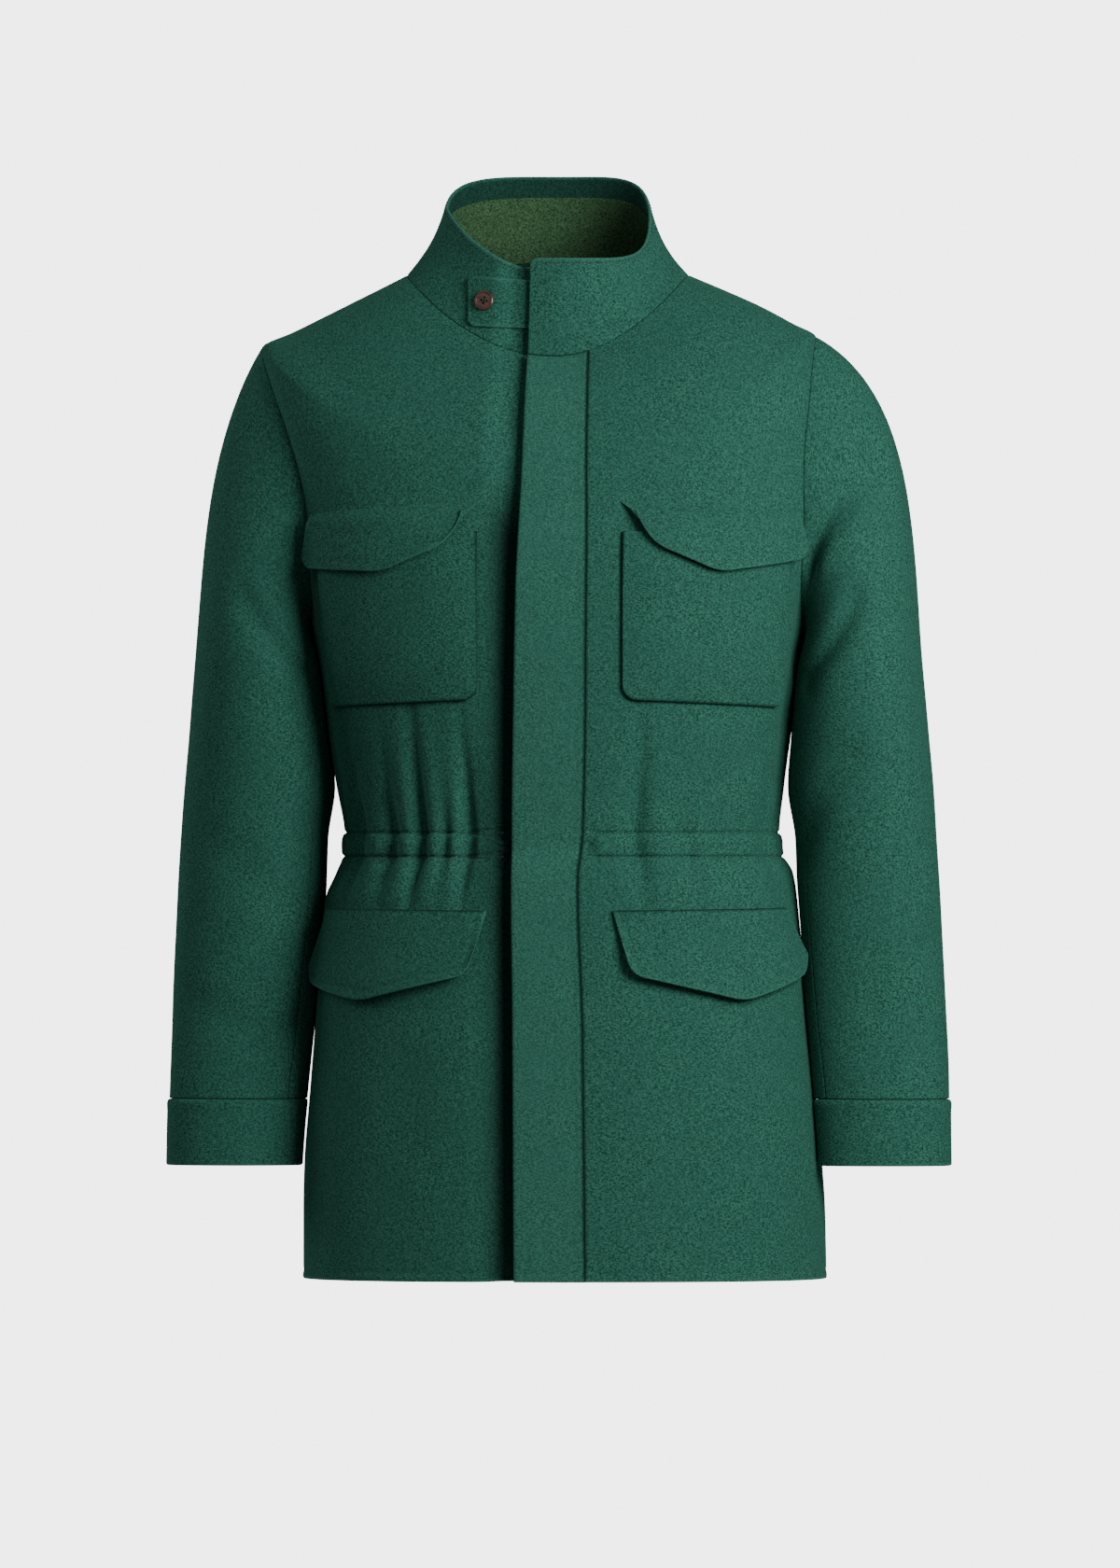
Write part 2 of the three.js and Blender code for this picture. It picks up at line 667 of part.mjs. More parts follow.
function makeSleeve(side) {
  const along = [...capRows, ...range(CAP_LENGTH, sleeveLength - HALF_SEAM, 10).slice(1)];
  const pairAt = (run, around, i) => {
    const turn = Math.round(around / SLEEVE_TURN) * SLEEVE_TURN;
    const outer = sleevePoint(side, around, run);
    if (i > 0) return { outer, inner: outer.clone().addScaledVector(sleeveNormal(side, turn, run), -WALL) };
    const next = sleevePoint(side, around, 1);
    outer.addScaledVector(next.sub(outer).normalize(), HALF_SEAM);
    return { outer, inner: outer.clone().addScaledVector(armholeMitre(side, turn), -WALL) };
  };
  const top = seamed(range(-SLEEVE_SEAM, SLEEVE_SEAM, 2 * SLEEVE_SEAM / SLEEVE_TURN));
  const under = seamed(range(SLEEVE_SEAM, 360 - SLEEVE_SEAM, 360 / SLEEVE_TURN - top.length + 1));
  wall(`sleeve_${sideName(side)}_top`, along, top, pairAt, WOOL);
  wall(`sleeve_${sideName(side)}_under`, along, under, pairAt, WOOL);
}

function makeCuff(side) {
  const rows = [sleeveLength + HALF_SEAM, sleeveLength + 3, mix(sleeveLength, cuffLength, 0.5), cuffLength];
  const turns = range(0, 360, 24).slice(0, -1);
  const pairAt = (run, around, i) => {
    const normal = sleeveNormal(side, around, run);
    const proud = i === 0 ? 0.6 : CUFF_PROUD;
    const outer = restOnBody(side, sleevePoint(side, around, run).addScaledVector(normal, proud));
    return { outer, inner: outer.clone().addScaledVector(normal, -DOUBLE_WALL) };
  };
  wall(`cuff_${sideName(side)}`, rows, turns, pairAt, WOOL, true);
}

// Collar. angle runs from the over end, round the wearer's left and the back, to the under end.

function collarBare(rise, angle) {
  const base = bodyPoint(NECK, girthTo(NECK, wrap(angle)));
  const across = Math.sin(angle);
  const ahead = Math.cos(angle);
  const wide = across > 0 ? COLLAR.left : COLLAR.right;
  const deep = ahead > 0 ? COLLAR.front : COLLAR.back;
  const reach = reachOf(across, ahead, wide, deep, COLLAR.square);
  const y = -ahead * reach;
  const z = collarHeight(angle, Math.abs(y) / deep);
  return base.lerp(new THREE.Vector3(across * reach, y, z), rise);
}

// The top edge falls from the back to both sides as a sine, then steeply to the front of the over
// end, which is nearly level, and evenly to the tip of the under end.
function collarHeight(angle, depth) {
  const atSide = angle < Math.PI ? COLLAR.zLeft : COLLAR.zRight;
  if (Math.cos(angle) < 0) return mix(atSide, COLLAR.zBack, Math.sin((depth * Math.PI) / 2));
  if (angle < Math.PI) return mix(COLLAR.zFront, atSide, (1 - depth) ** 2.6);
  return mix(atSide, COLLAR.zUnder, depth ** 1.8);
}

function wrap(angle) {
  return Math.atan2(Math.sin(angle), Math.cos(angle));
}

// How far the collar lies inside its plain ring: nothing at the over end, and the whole overlap
// at the under end, where it goes beneath the over end
function collarSink(angle) {
  if (angle < Math.PI) return 0;
  return sinkUnder(girthTo(NECK, angle - 2 * Math.PI));
}

function collarPoint(rise, angle) {
  const halfway = Math.sin(Math.PI * Math.min(Math.max(rise, 0), 1));
  const drawn = COLLAR.drawn * Math.abs(Math.sin(angle)) * halfway;
  const normal = normalOf(collarBare, rise, angle, 0.02, 0.02, -1, 2);
  return collarBare(rise, angle).addScaledVector(normal, collarSink(angle) - drawn);
}

function collarNormal(rise, angle) {
  return normalOf(collarPoint, rise, angle, 0.02, 0.02, 0, 1);
}

function neckMitre(angle) {
  const around = angle < 0 ? angle + 2 * Math.PI : angle;
  const body = bodyNormal(NECK, girthTo(NECK, angle));
  return mitre(body, normalOf(collarBare, 0, around, 0.02, 0.02, 0, 1));
}

const overEnd = radians(COLLAR.overEnd);
const underEnd = 2 * Math.PI + radians(COLLAR.underEnd);
const sinkStart = 2 * Math.PI + angleAt(NECK, UNDERLAP.from);
const sinkStop = 2 * Math.PI + angleAt(NECK, UNDERLAP.to);
const collarAngles = [
  overEnd, overEnd + 0.02, overEnd + 0.07, ...range(overEnd + 0.2, sinkStart, 26),
  ...range(sinkStart, sinkStop, 6).slice(1), ...range(sinkStop, underEnd, 3).slice(1),
];
const facingEdge = 1 - COLLAR.facing / COLLAR.height;
const collarRises = [0, 0.14, 0.45, facingEdge, 1];

function makeCollar() {
  const pairAt = (rise, angle) => {
    const cut = cornerRise((angle - overEnd) * COLLAR.front, COLLAR.corner) / COLLAR.height;
    const lift = rise === 0 ? HALF_SEAM / COLLAR.height : rise * (1 - cut);
    const outer = collarPoint(lift, angle);
    const way = rise === 0 ? neckMitre(wrap(angle)) : collarNormal(lift, angle);
    return { outer, inner: outer.clone().addScaledVector(way, -COLLAR.wall) };
  };
  wall('collar', collarRises, collarAngles, pairAt, WOOL);
}

function makeLining() {
  const angles = collarAngles.slice(5, -11);
  const rises = collarRises.slice(1, -1);
  const pairAt = (rise, angle) => {
    const normal = collarNormal(rise, angle);
    const outer = collarPoint(rise, angle).addScaledVector(normal, -COLLAR.wall - COLLAR.liningGap);
    return { outer, inner: outer.clone().addScaledVector(normal, -LINING_WALL) };
  };
  wall('collar_lining', rises, angles, pairAt, LINING);
}

// Placket

function makePlacket() {
  const pairAt = (row, share) => {
    const edges = placketEdges(row.level);
    const girth = mix(edges.right, edges.left - HALF_SEAM, share);
    const top = row.level === NECK;
    const level = top ? NECK - PLACKET_TOP : row.level;
    const way = top ? neckMitre(angleAt(NECK, girth)) : bodyNormal(level, girth);
    const rounded = share === 0 || share === 1 ? PLACKET_ROUND : 0;
    const outer = bodyPoint(level, girth).addScaledVector(way, PLACKET_PROUD - rounded);
    return { outer, inner: outer.clone().addScaledVector(way, rounded - DOUBLE_WALL) };
  };
  wall('placket', panelRows, [0, 0.08, 0.5, 0.92, 1], pairAt, WOOL);
}

// Pockets and flaps: walls that follow the plain body, a little way out from it

// How much a round corner takes off at a distance from the side
function cornerRise(distance, radius) {
  if (distance >= radius) return 0;
  return radius - Math.sqrt(radius ** 2 - (radius - distance) ** 2);
}

function layOnFront(name, side, rows, columns, thick, placeAt) {
  const pairAt = (down, across) => {
    const { girth, z, under } = placeAt(across, down);
    const level = levelAt(z, side * girth);
    const surface = (a, b) => plainBody(a, b, 0);
    const normal = normalOf(surface, level, side * girth, 1, 1, HEM, NECK);
    const inner = surface(level, side * girth).addScaledVector(normal, under);
    return { outer: inner.clone().addScaledVector(normal, thick), inner };
  };
  wall(name, rows, columns, pairAt, WOOL);
}

function pocketCrown(girth, z) {
  const { inner, outer, top, lowInner, crown } = CHEST_POCKET;
  const rise = (share) => Math.max(1 - (2 * share - 1) ** 4, 0);
  return crown * rise((girth - inner) / (outer - inner)) * rise((z - top) / (lowInner - top));
}

function makeChestPocket(side) {
  const { inner, outer, top, lowInner, lowOuter, corner } = CHEST_POCKET;
  const placeAt = (across, down) => {
    const girth = mix(inner, outer, across);
    const rise = cornerRise(girth - inner, corner) + cornerRise(outer - girth, corner);
    const z = mix(top, mix(lowInner, lowOuter, across) + rise, down);
    return { girth, z, under: LAID_ON + pocketCrown(girth, z) };
  };
  const rows = [0, 0.05, 0.14, 0.32, 0.6, 0.84, 0.95, 1];
  const columns = [0, 0.015, 0.045, 0.12, 0.3, 0.5, 0.7, 0.88, 0.955, 0.985, 1];
  layOnFront(`chest_pocket_${sideName(side)}`, side, rows, columns, WALL, placeAt);
}

function flapPlace(flap, side, across, down) {
  const wide = flap.outerLow - flap.innerLow;
  const zOuterLow = flap.zOuterLow[side === LEFT ? 0 : 1];
  const low = across < flap.point
    ? mix(flap.zInnerLow, flap.zPoint, across / flap.point)
    : mix(flap.zPoint, zOuterLow, (across - flap.point) / (1 - flap.point));
  const [innerRound, outerRound] = flap.round;
  const rise = cornerRise(across * wide, innerRound) + cornerRise((1 - across) * wide, outerRound);
  const innerGirth = mix(flap.innerTop, flap.innerLow, down);
  const outerGirth = mix(flap.outerTop, flap.outerLow, down);
  return {
    girth: mix(innerGirth, outerGirth, across),
    z: mix(mix(flap.zInnerTop, flap.zOuterTop, across), low + rise, down),
  };
}

function makeFlap(name, side, flap, overPocket) {
  const placeAt = (across, down) => {
    const { girth, z } = flapPlace(flap, side, across, down);
    let under = LAID_ON + flap.lift * down ** 2;
    if (overPocket) {
      under += pocketCrown(girth, z);
      under += (WALL + FLAP_GAP) * smooth(flap.zInnerTop, CHEST_POCKET.top + 3, z);
    }
    return { girth, z, under };
  };
  const rows = [0, 0.12, 0.3, 0.5, 0.75, 1];
  const columns = [0, 0.015, 0.04, 0.08, 0.2, 0.36, flap.point, 0.68, 0.82, 0.92, 0.96, 0.985, 1];
  layOnFront(`${name}_${sideName(side)}`, side, rows, columns, FLAP_WALL, placeAt);
}

// Collar tab and button

// The angle and rise where the under end of the collar has a given x and z
function collarPlace(x, z) {
  let low = 1.5 * Math.PI;
  let high = underEnd;
  let place = {};
  for (let tries = 0; tries < 30; tries += 1) {
    const angle = (low + high) / 2;
    const foot = collarPoint(0, angle);
    const rise = (z - foot.z) / (collarPoint(1, angle).z - foot.z);
    place = { angle, rise };
    if (collarPoint(rise, angle).x < x) low = angle;
    else high = angle;
  }
  return place;
}

function makeTab() {
  const columns = [0, 0.03, 0.09, 0.2, 0.32, 0.4, 0.48, 0.56, 0.64, 0.72, 0.86, 1];
  const pairAt = (down, across) => {
    const x = mix(TAB.from, TAB.to, across);
    const rise = cornerRise(x - TAB.from, TAB.corner);
    const top = mix(TAB.topFrom, TAB.topTo, across) - rise;
    const low = mix(TAB.lowFrom, TAB.lowTo, across) + rise;
    const place = collarPlace(x, mix(top, low, down));
    const normal = collarNormal(place.rise, place.angle);
    const inner = collarPoint(place.rise, place.angle).addScaledVector(normal, TAB.gap);
    return { outer: inner.clone().addScaledVector(normal, TAB.wall), inner };
  };
  wall('collar_tab', [0, 0.33, 0.66, 1], columns, pairAt, WOOL);
}

// A geometry as a solid whose corners are shared
function toSolid(geometry) {
  geometry.deleteAttribute('normal');
  geometry.deleteAttribute('uv');
  const merged = mergeVertices(geometry, 1e-4);
  return new wasm.Manifold(new wasm.Mesh({
    numProp: 3,
    vertProperties: new Float32Array(merged.attributes.position.array),
    triVerts: new Uint32Array(merged.index.array),
  }));
}

function fromSolid(body) {
  const { vertProperties, triVerts } = body.getMesh();
  const geometry = new THREE.BufferGeometry();
  geometry.setAttribute('position', new THREE.BufferAttribute(vertProperties, 3));
  geometry.setIndex(new THREE.BufferAttribute(triVerts, 1));
  return geometry;
}

function makeButton() {
  const { radius, thick, edge, rim, dish, hole, spread } = BUTTON;
  const profile = [
    [0, 0], [radius - edge, 0], [radius, edge], [radius, thick - edge], [radius - edge, thick],
    [radius - rim, thick], [radius - rim - edge, thick - dish], [0, thick - dish],
  ].map(([x, y]) => new THREE.Vector2(x, y));
  let body = toSolid(new THREE.LatheGeometry(profile, 28));
  for (const [x, z] of [[1, 1], [1, -1], [-1, 1], [-1, -1]]) {
    const drill = new THREE.CylinderGeometry(hole, hole, 3 * thick, 10);
    body = body.subtract(toSolid(drill.translate(x * spread, 0, z * spread)));
  }
  const place = collarPlace(BUTTON.x, BUTTON.z);
  const normal = collarNormal(place.rise, place.angle);
  const mesh = solid('collar_button', fromSolid(body), HORN);
  mesh.position.copy(collarPoint(place.rise, place.angle));
  mesh.position.addScaledVector(normal, TAB.gap + TAB.wall + BUTTON.gap);
  mesh.quaternion.setFromUnitVectors(new THREE.Vector3(0, 1, 0), normal);
}

for (const side of [LEFT, RIGHT]) {
  makeFront(side);
  makeSleeve(side);
  makeCuff(side);
  makeChestPocket(side);
  makeFlap('chest_flap', side, CHEST_FLAP, true);
  makeFlap('hip_flap', side, HIP_FLAP, false);
}
makeBack();
makePlacket();
makeCollar();
makeLining();
makeTab();
makeButton();

export default jacket;
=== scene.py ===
"""Looks of the field jacket: felted green wool, its seams, stitches and folds, and a soft studio.

Every form is worked out in millimetres with the same tables as the solids, +Z up, the front
towards -Y and the wearer's left towards +X, and put into Blender in metres.
"""

import bpy
import numpy as np
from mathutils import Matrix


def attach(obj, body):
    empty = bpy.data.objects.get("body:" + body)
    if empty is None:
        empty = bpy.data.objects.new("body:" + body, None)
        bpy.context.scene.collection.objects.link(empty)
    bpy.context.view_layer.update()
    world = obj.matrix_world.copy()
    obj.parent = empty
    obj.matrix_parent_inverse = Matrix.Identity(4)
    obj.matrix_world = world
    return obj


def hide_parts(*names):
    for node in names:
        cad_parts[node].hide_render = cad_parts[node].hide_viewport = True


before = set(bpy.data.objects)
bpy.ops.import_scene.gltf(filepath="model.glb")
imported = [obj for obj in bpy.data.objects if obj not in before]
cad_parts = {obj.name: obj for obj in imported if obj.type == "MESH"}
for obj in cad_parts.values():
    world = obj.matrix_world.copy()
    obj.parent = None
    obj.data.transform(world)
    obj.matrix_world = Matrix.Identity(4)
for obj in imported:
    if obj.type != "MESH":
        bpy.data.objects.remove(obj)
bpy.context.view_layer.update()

bl_info = {
    "name": "Field jacket",
    "version": (1, 0, 0),
    "blender": (4, 5, 0),
    "location": "View3D > Sidebar > Jacket",
    "description": "Wool cloth, seams, stitches and studio for a field jacket",
    "category": "Object",
}

MM = 0.001
LEFT, RIGHT = 1, -1
SIDES = {LEFT: "left", RIGHT: "right"}


def table(columns, *rows):
    """Rows of numbers or words as a dict of named columns."""
    return {name: np.array([row[i] for row in rows]) for i, name in enumerate(columns)}


# Body rings from the hem up to the neck seam, in millimetres
RINGS = table(
    ("level", "left", "right", "front", "back", "front_lag", "back_lag", "tilt", "square"),
    (-802, 214, 206, 150, 150, 0, 0, 0, 2.4),
    (-747, 213, 206, 149, 150, 0, 0, 0, 2.4),
    (-707, 210.5, 205, 148, 149, 0, 0, 0, 2.4),
    (-657, 206, 201.5, 147, 148, 0, 0, 0, 2.4),
    (-567, 197, 194, 143, 144, 0, 0, 0, 2.4),
    (-497, 190.5, 188, 138, 140, 0, 0, 0, 2.4),
    (-476, 187, 179.5, 135, 138, 0, 0, 0, 2.4),
    (-454, 175.5, 172, 127, 131, 0, 0, 0, 2.35),
    (-405, 180.5, 180, 130, 133, 0, 0, 0, 2.35),
    (-365, 185.5, 186, 134, 136, 0, 0, 0, 2.4),
    (-327, 190.5, 191, 138, 138, 0, 0, 0, 2.4),
    (-287, 196.5, 197.5, 141, 141, 4, 2, 0, 2.4),
    (-237, 205, 206, 142, 143, 14, 8, 0, 2.4),
    (-170, 213, 215, 139, 144, 45, 25, 0, 2.4),
    (-107, 212, 229, 131, 140, 76, 43, 2, 2.4),
    (-50, 206, 240, 127, 132, 98, 58, 4, 2.2),
    (-38, 187, 213, 122, 125, 93, 40, 3, 2.15),
    (-23, 161, 181, 111, 113, 82, 20, 2, 2.15),
    (4, 103, 123, 80, 72, 66, -10, 0, 2.05),
)
HEM, NECK, WAIST = -802.0, 4.0, -454.0
ARMPIT, SHOULDER = -287.0, -50.0
ARMHOLE_FRONT, ARMHOLE_BACK = 17.5, 17.0
EVENED_REACH, EVENED_FROM, EVENED_TO = 30.0, -170.0, -90.0
CHANNEL_LOW, CHANNEL_HIGH = -463.0, -444.0
CHANNEL_START, CHANNEL_FULL = 30.0, 38.0

# Gathers drawn up by the waist cord. lean makes one side of a trough steeper; a negative depth
# is a ridge.
GATHERS = table(
    ("panel", "share", "wide", "deep", "above", "below", "lean"),
    ("right", 0.27, 6, 6.5, 75, 42, 0.3),
    ("right", 0.31, 7, -3, 60, 40, 0),
    ("right", 0.345, 4.5, 3.2, 25, 20, 0.2),
    ("right", 0.385, 7, -2.7, 70, 45, 0),
    ("right", 0.43, 6, 7.8, 85, 40, 0.35),
    ("right", 0.485, 8, -2.7, 60, 45, 0),
    ("right", 0.545, 6, 6.5, 60, 38, 0.3),
    ("right", 0.62, 9, -2.3, 55, 40, 0),
    ("right", 0.71, 8, 6.5, 60, 50, 0.3),
    ("right", 0.87, 8, 5.2, 45, 45, 0.2),
    ("left", 0.28, 9, 5, 90, 40, -0.3),
    ("left", 0.35, 10, -1.8, 70, 45, 0),
    ("left", 0.45, 9, 3.6, 32, 45, -0.2),
    ("left", 0.5, 7, -1, 40, 30, 0),
    ("left", 0.555, 12, 3.8, 80, 24, -0.2),
    ("left", 0.65, 7, 2.6, 30, 22, -0.2),
    ("left", 0.78, 9, 3.5, 45, 45, -0.3),
    ("left", 0.9, 8, 3.5, 40, 45, 0),
    ("back", -0.86, 9, 5.9, 60, 55, 0.2),
    ("back", -0.68, 8, 6.5, 85, 50, -0.3),
    ("back", -0.6, 9, -2.3, 60, 40, 0),
    ("back", -0.51, 7, 5.2, 45, 40, 0.2),
    ("back", -0.36, 8, 7.2, 95, 55, 0.35),
    ("back", -0.28, 8, -2.7, 70, 45, 0),
    ("back", -0.2, 7, 5.2, 50, 35, -0.2),
    ("back", -0.05, 8, 6.5, 75, 50, -0.3),
    ("back", 0.03, 8, -2.3, 60, 40, 0),
    ("back", 0.11, 7, 5.9, 60, 40, 0.3),
    ("back", 0.27, 9, 6.5, 90, 60, -0.3),
    ("back", 0.43, 7, 5.2, 40, 35, 0.2),
    ("back", 0.5, 8, -2.5, 70, 40, 0),
    ("back", 0.57, 8, 7.2, 80, 50, 0.3),
    ("back", 0.73, 7, 5.2, 55, 45, -0.3),
    ("back", 0.88, 8, 5.9, 65, 50, 0.2),
)

PLACKET = table(
    ("level", "right", "left"),
    (-802, -28, 29),
    (-600, -29.5, 26.5),
    (-483, -31, 22.3),
    (-444, -31, 25.8),
    (-330, -29, 28.5),
    (-170, -26, 29.5),
    (4, -21.5, 28),
)
PLACKET_PROUD, PLACKET_TOP = 1.5, NECK - 0.7
UNDERLAP_START, UNDERLAP_SINK, SINK_FROM, SINK_TO = 14.0, 7.0, -57.0, -34.0
# Below the chest the underlap falls away further, from a line further out at the waist
SINK_MORE, MORE_FROM, MORE_TO = 4.5, -66.0, -36.0
MORE_BELOW, MORE_ALL, MORE_WAIST, MORE_WIDE = -40.0, -160.0, 14.0, 90
# Painted shade: how much darker the cloth is painted there and inside the collar. Painted highlight: how
# much paler the placket is painted
UNDERLAP_PAINTED_SHADE, FACING_PAINTED_SHADE, PLACKET_PAINTED_HIGHLIGHT = 0.85, 0.7, 0.45

# Soft creases of the fronts and the back: girth and level of their two ends
BODY_FOLDS = table(
    ("girth_from", "level_from", "girth_to", "level_to", "wide", "deep"),
    (-235, -300, -215, -400, 16, 2.2),
    (-180, -365, -150, -425, 12, 1.4),
    (240, -300, 222, -395, 17, 2.4),
    (232, -345, 160, -392, 13, 1.2),
    (-205, -215, -238, -262, 12, 1.6),
    (205, -205, 240, -262, 12, 1.6),
    (-120, -640, -135, -780, 30, 2.0),
    (-205, -610, -220, -790, 26, 2.4),
    (110, -640, 122, -780, 32, 1.8),
    (210, -600, 228, -790, 28, 2.2),
    (-330, -150, -395, -260, 22, 2.6),
    (330, -145, 400, -262, 22, 2.8),
    (-340, -330, -430, -400, 16, 2.0),
    (345, -340, 425, -395, 17, 2.2),
    (-455, -560, -462, -780, 30, 3.0),
    (395, -560, 402, -785, 32, 2.6),
    (-330, -580, -335, -780, 28, 2.4),
    (500, -575, 497, -780, 26, 2.2),
)

SLEEVE = table(
    ("z", "outer", "inner", "front", "back"),
    (-711, 314.5, 206, -60, 26),
    (-657.5, 313.5, 202, -57, 32),
    (-585, 311.5, 194, -53, 44),
    (-495, 307.5, 189, -56, 60),
    (-450, 304.5, 188, -60, 66),
    (-405, 301.5, 182, -65, 71),
    (-360, 297.5, 184, -71, 75),
    (-315, 293.5, 187, -76, 77),
)
SLEEVE_EASE = {LEFT: -1.5, RIGHT: 0.8}
SLEEVE_SQUARE, SLEEVE_REST, SLEEVE_SOFT = 2.15, 1.2, 0.6
CAP_END, CAP_LENGTH = -315.0, 165.0
CUFF_SEAM, CUFF_END, CUFF_TOP, CUFF_PROUD = -657.5, -711.0, 0.6, 1.5
SLEEVE_SEAM, SEAM_TURN = 144.0, 0.25
LEAVES = {LEFT: (28.0, 55.0), RIGHT: (58.0, 55.0)}
PER_DEGREE = 1.15
SLEEVE_LENGTH = CAP_LENGTH + CAP_END - CUFF_SEAM
CUFF_LENGTH = CAP_LENGTH + CAP_END - CUFF_END

# Folds of the sleeves: the angle round the sleeve from its outer side over the front, and the
# distance from the armhole, of their two ends
SLEEVE_FOLDS = table(
    ("side", "turn_from", "along_from", "turn_to", "along_to", "wide", "deep"),
    (LEFT, 39, 60, 112, 16, 10, 6.5),
    (LEFT, 30, 84, 100, 48, 11, -2.2),
    (LEFT, 47, 36, 72, 23, 7, 2.2),
    (LEFT, 88, 106, 129, 172, 12, 6),
    (LEFT, 95, 235, 150, 310, 14, 3),
    (LEFT, 285, 90, 235, 165, 14, 5),
    (LEFT, 300, 300, 240, 345, 13, 4),
    (LEFT, 30, 380, 88, 430, 16, 1.6),
    (RIGHT, 80, 110, 125, 160, 12, 4),
    (RIGHT, 285, 95, 240, 160, 14, 5),
    (RIGHT, 295, 270, 235, 320, 13, 4),
    (RIGHT, 60, 300, 120, 350, 18, 1.8),
    (RIGHT, 40, 430, 100, 455, 16, 1.4),
)

COLLAR_LEFT, COLLAR_RIGHT, COLLAR_FRONT, COLLAR_BACK = 73.0, 92.0, 74.0, 64.0
COLLAR_Z = {"front": 16.0, "under": 6.0, LEFT: 50.0, RIGHT: 60.0, "back": 85.0}
COLLAR_SQUARE, COLLAR_DRAWN, COLLAR_CORNER, COLLAR_HEIGHT = 2.1, 3.8, 5.0, 72.0
OVER_END, UNDER_END = np.radians(-15.0), np.radians(376.0)
FACING_EDGE = 1 - 17 / COLLAR_HEIGHT

TAB = {
    "from": -69.0, "to": -15.0, "top_from": 2.0, "top_to": -2.0, "low_from": -39.0, "low_to": -41.0,
    "corner": 5.0, "wall": 2.5, "gap": 0.6,
}
BUTTON = {"x": -55.0, "z": -18.5, "thick": 3.0, "dish": 0.9, "spread": 1.7, "gap": 0.4}
BUTTONHOLE = {"from": -50.0, "to": -38.5, "z": -19.0}

CHEST_POCKET = {
    "inner": 58.0, "outer": 208.0, "top": -204.0, "low_inner": -338.0, "low_outer": -344.0,
    "corner": 11.0, "crown": 3.0,
}
CHEST_FLAP = {
    "inner_top": 56.0, "inner_low": 71.0, "outer_top": 215.0, "outer_low": 220.0,
    "z_inner_top": -180.0, "z_outer_top": -189.0, "z_inner_low": -210.0, "z_point": -235.5,
    "z_outer_low": {LEFT: -223.0, RIGHT: -231.0}, "point": 0.42, "inner_corner": 22.0,
    "outer_corner": 10.0, "lift": 3.0,
}
HIP_FLAP = {
    "inner_top": 50.0, "inner_low": 62.0, "outer_top": 214.0, "outer_low": 242.0,
    "z_inner_top": -506.0, "z_outer_top": -504.0, "z_inner_low": -557.0, "z_point": -579.0,
    "z_outer_low": {LEFT: -555.0, RIGHT: -563.0}, "point": 0.53, "inner_corner": 12.0,
    "outer_corner": 14.0, "lift": 6.0,
}
FLAP_WALL, FLAP_GAP, LAID_ON = 3.0, 1.0, 0.7
POINT_EVENED = (-0.05, -0.025, 0.0, 0.025, 0.05)

WALL, DOUBLE_WALL, LINING_WALL, HALF_SEAM = 2.5, 3.5, 1.2, 0.15
# The sewn edges of two panels pass each other by twice this, so that no light comes through
SEWN = 0.15
DEEPEST_MITRE = 2.4

# Height of the cloth's unevenness on each kind of piece
BODY_WAVES, SLEEVE_WAVES, CUFF_WAVES = 0.35, 0.5, 0.35
COLLAR_WAVES, POCKET_WAVES, FLAP_WAVES = 0.5, 0.5, 0.6

# Sewn lines: their distance from an edge or seam, their height, and their half width
HEM_GROOVE, HEM_RIDGE = (7, -0.45, 1.8), (3.5, 0.3, 3)
PLACKET_RIDGE, CUFF_RIDGE = (3, 0.5, 2.2), (4.5, 0.5, 3)
POCKET_GROOVE, FLAP_GROOVE, TAB_GROOVE = (4.5, -0.4, 1.3), (7, -0.7, 1.6), (3.2, -0.35, 0.9)

# The waist channel stands out as a power of half a sine, between two narrow grooves with ripples
CHANNEL_PROUD, CHANNEL_POWER, CHANNEL_GROOVE, GROOVE_WIDE = 3.5, 0.7, 1.5, 1.3
PUCKER, PUCKER_WIDE = 0.28, 7

# How far the lining lies inside the collar's face, where it starts, and the painted shade over its inner
# skin, deepest on the wearer's left side
LINING_IN, LINING_START, LINING_LOW, LINING_SHORT = 3.3, 0.35, 0.03, 6
LINING_PAINTED_SHADE, LINING_PAINTED_DARKER, LINING_DARK_WIDE = -0.2, -0.45, 0.8


# Numbers and curves


def mix(a, b, share):
    return a + (b - a) * share


def smooth(start, end, value):
    """Rises from 0 at start to 1 at end: the cube curve that is level at both ends."""
    share = np.clip((value - start) / (end - start), 0, 1)
    return share * share * (3 - 2 * share)


def bell(distance, wide):
    """1 at no distance, falling as the exponential of minus its square in half widths."""
    return np.exp(-((distance / wide) ** 2))


def unit(vectors):
    return vectors / np.maximum(np.linalg.norm(vectors, axis=-1, keepdims=True), 1e-9)


def wander(u, v, seed):
    """A soft uneven number from -1 to 1: the mean of three sine waves whose lengths don't fit."""
    first = np.sin(u / 23.0 + v / 61.0 + 1.7 * seed)
    second = np.sin(u / 37.0 - v / 29.0 + 2.9 * seed)
    third = np.sin(u / 11.0 + v / 17.0 + 4.3 * seed)
    return (first + second + 0.5 * third) / 2.5


def sewn_line(distance, at, high, wide):
    """A ridge along an edge or seam, or a groove where high is negative."""
    return high * bell(distance - at, wide)


def grid_of(rows, columns):
    return np.meshgrid(rows, columns, indexing="ij")


def alike(one, other):
    """Two numbers or grids as grids of one size."""
    return np.broadcast_arrays(np.asarray(one, float), np.asarray(other, float))


def run_of(steps, axis):
    """The distance run at each point, from the steps between points."""
    start = np.zeros_like(np.take(steps, [0], axis=axis))
    return np.concatenate([start, np.cumsum(steps, axis=axis)], axis=axis)


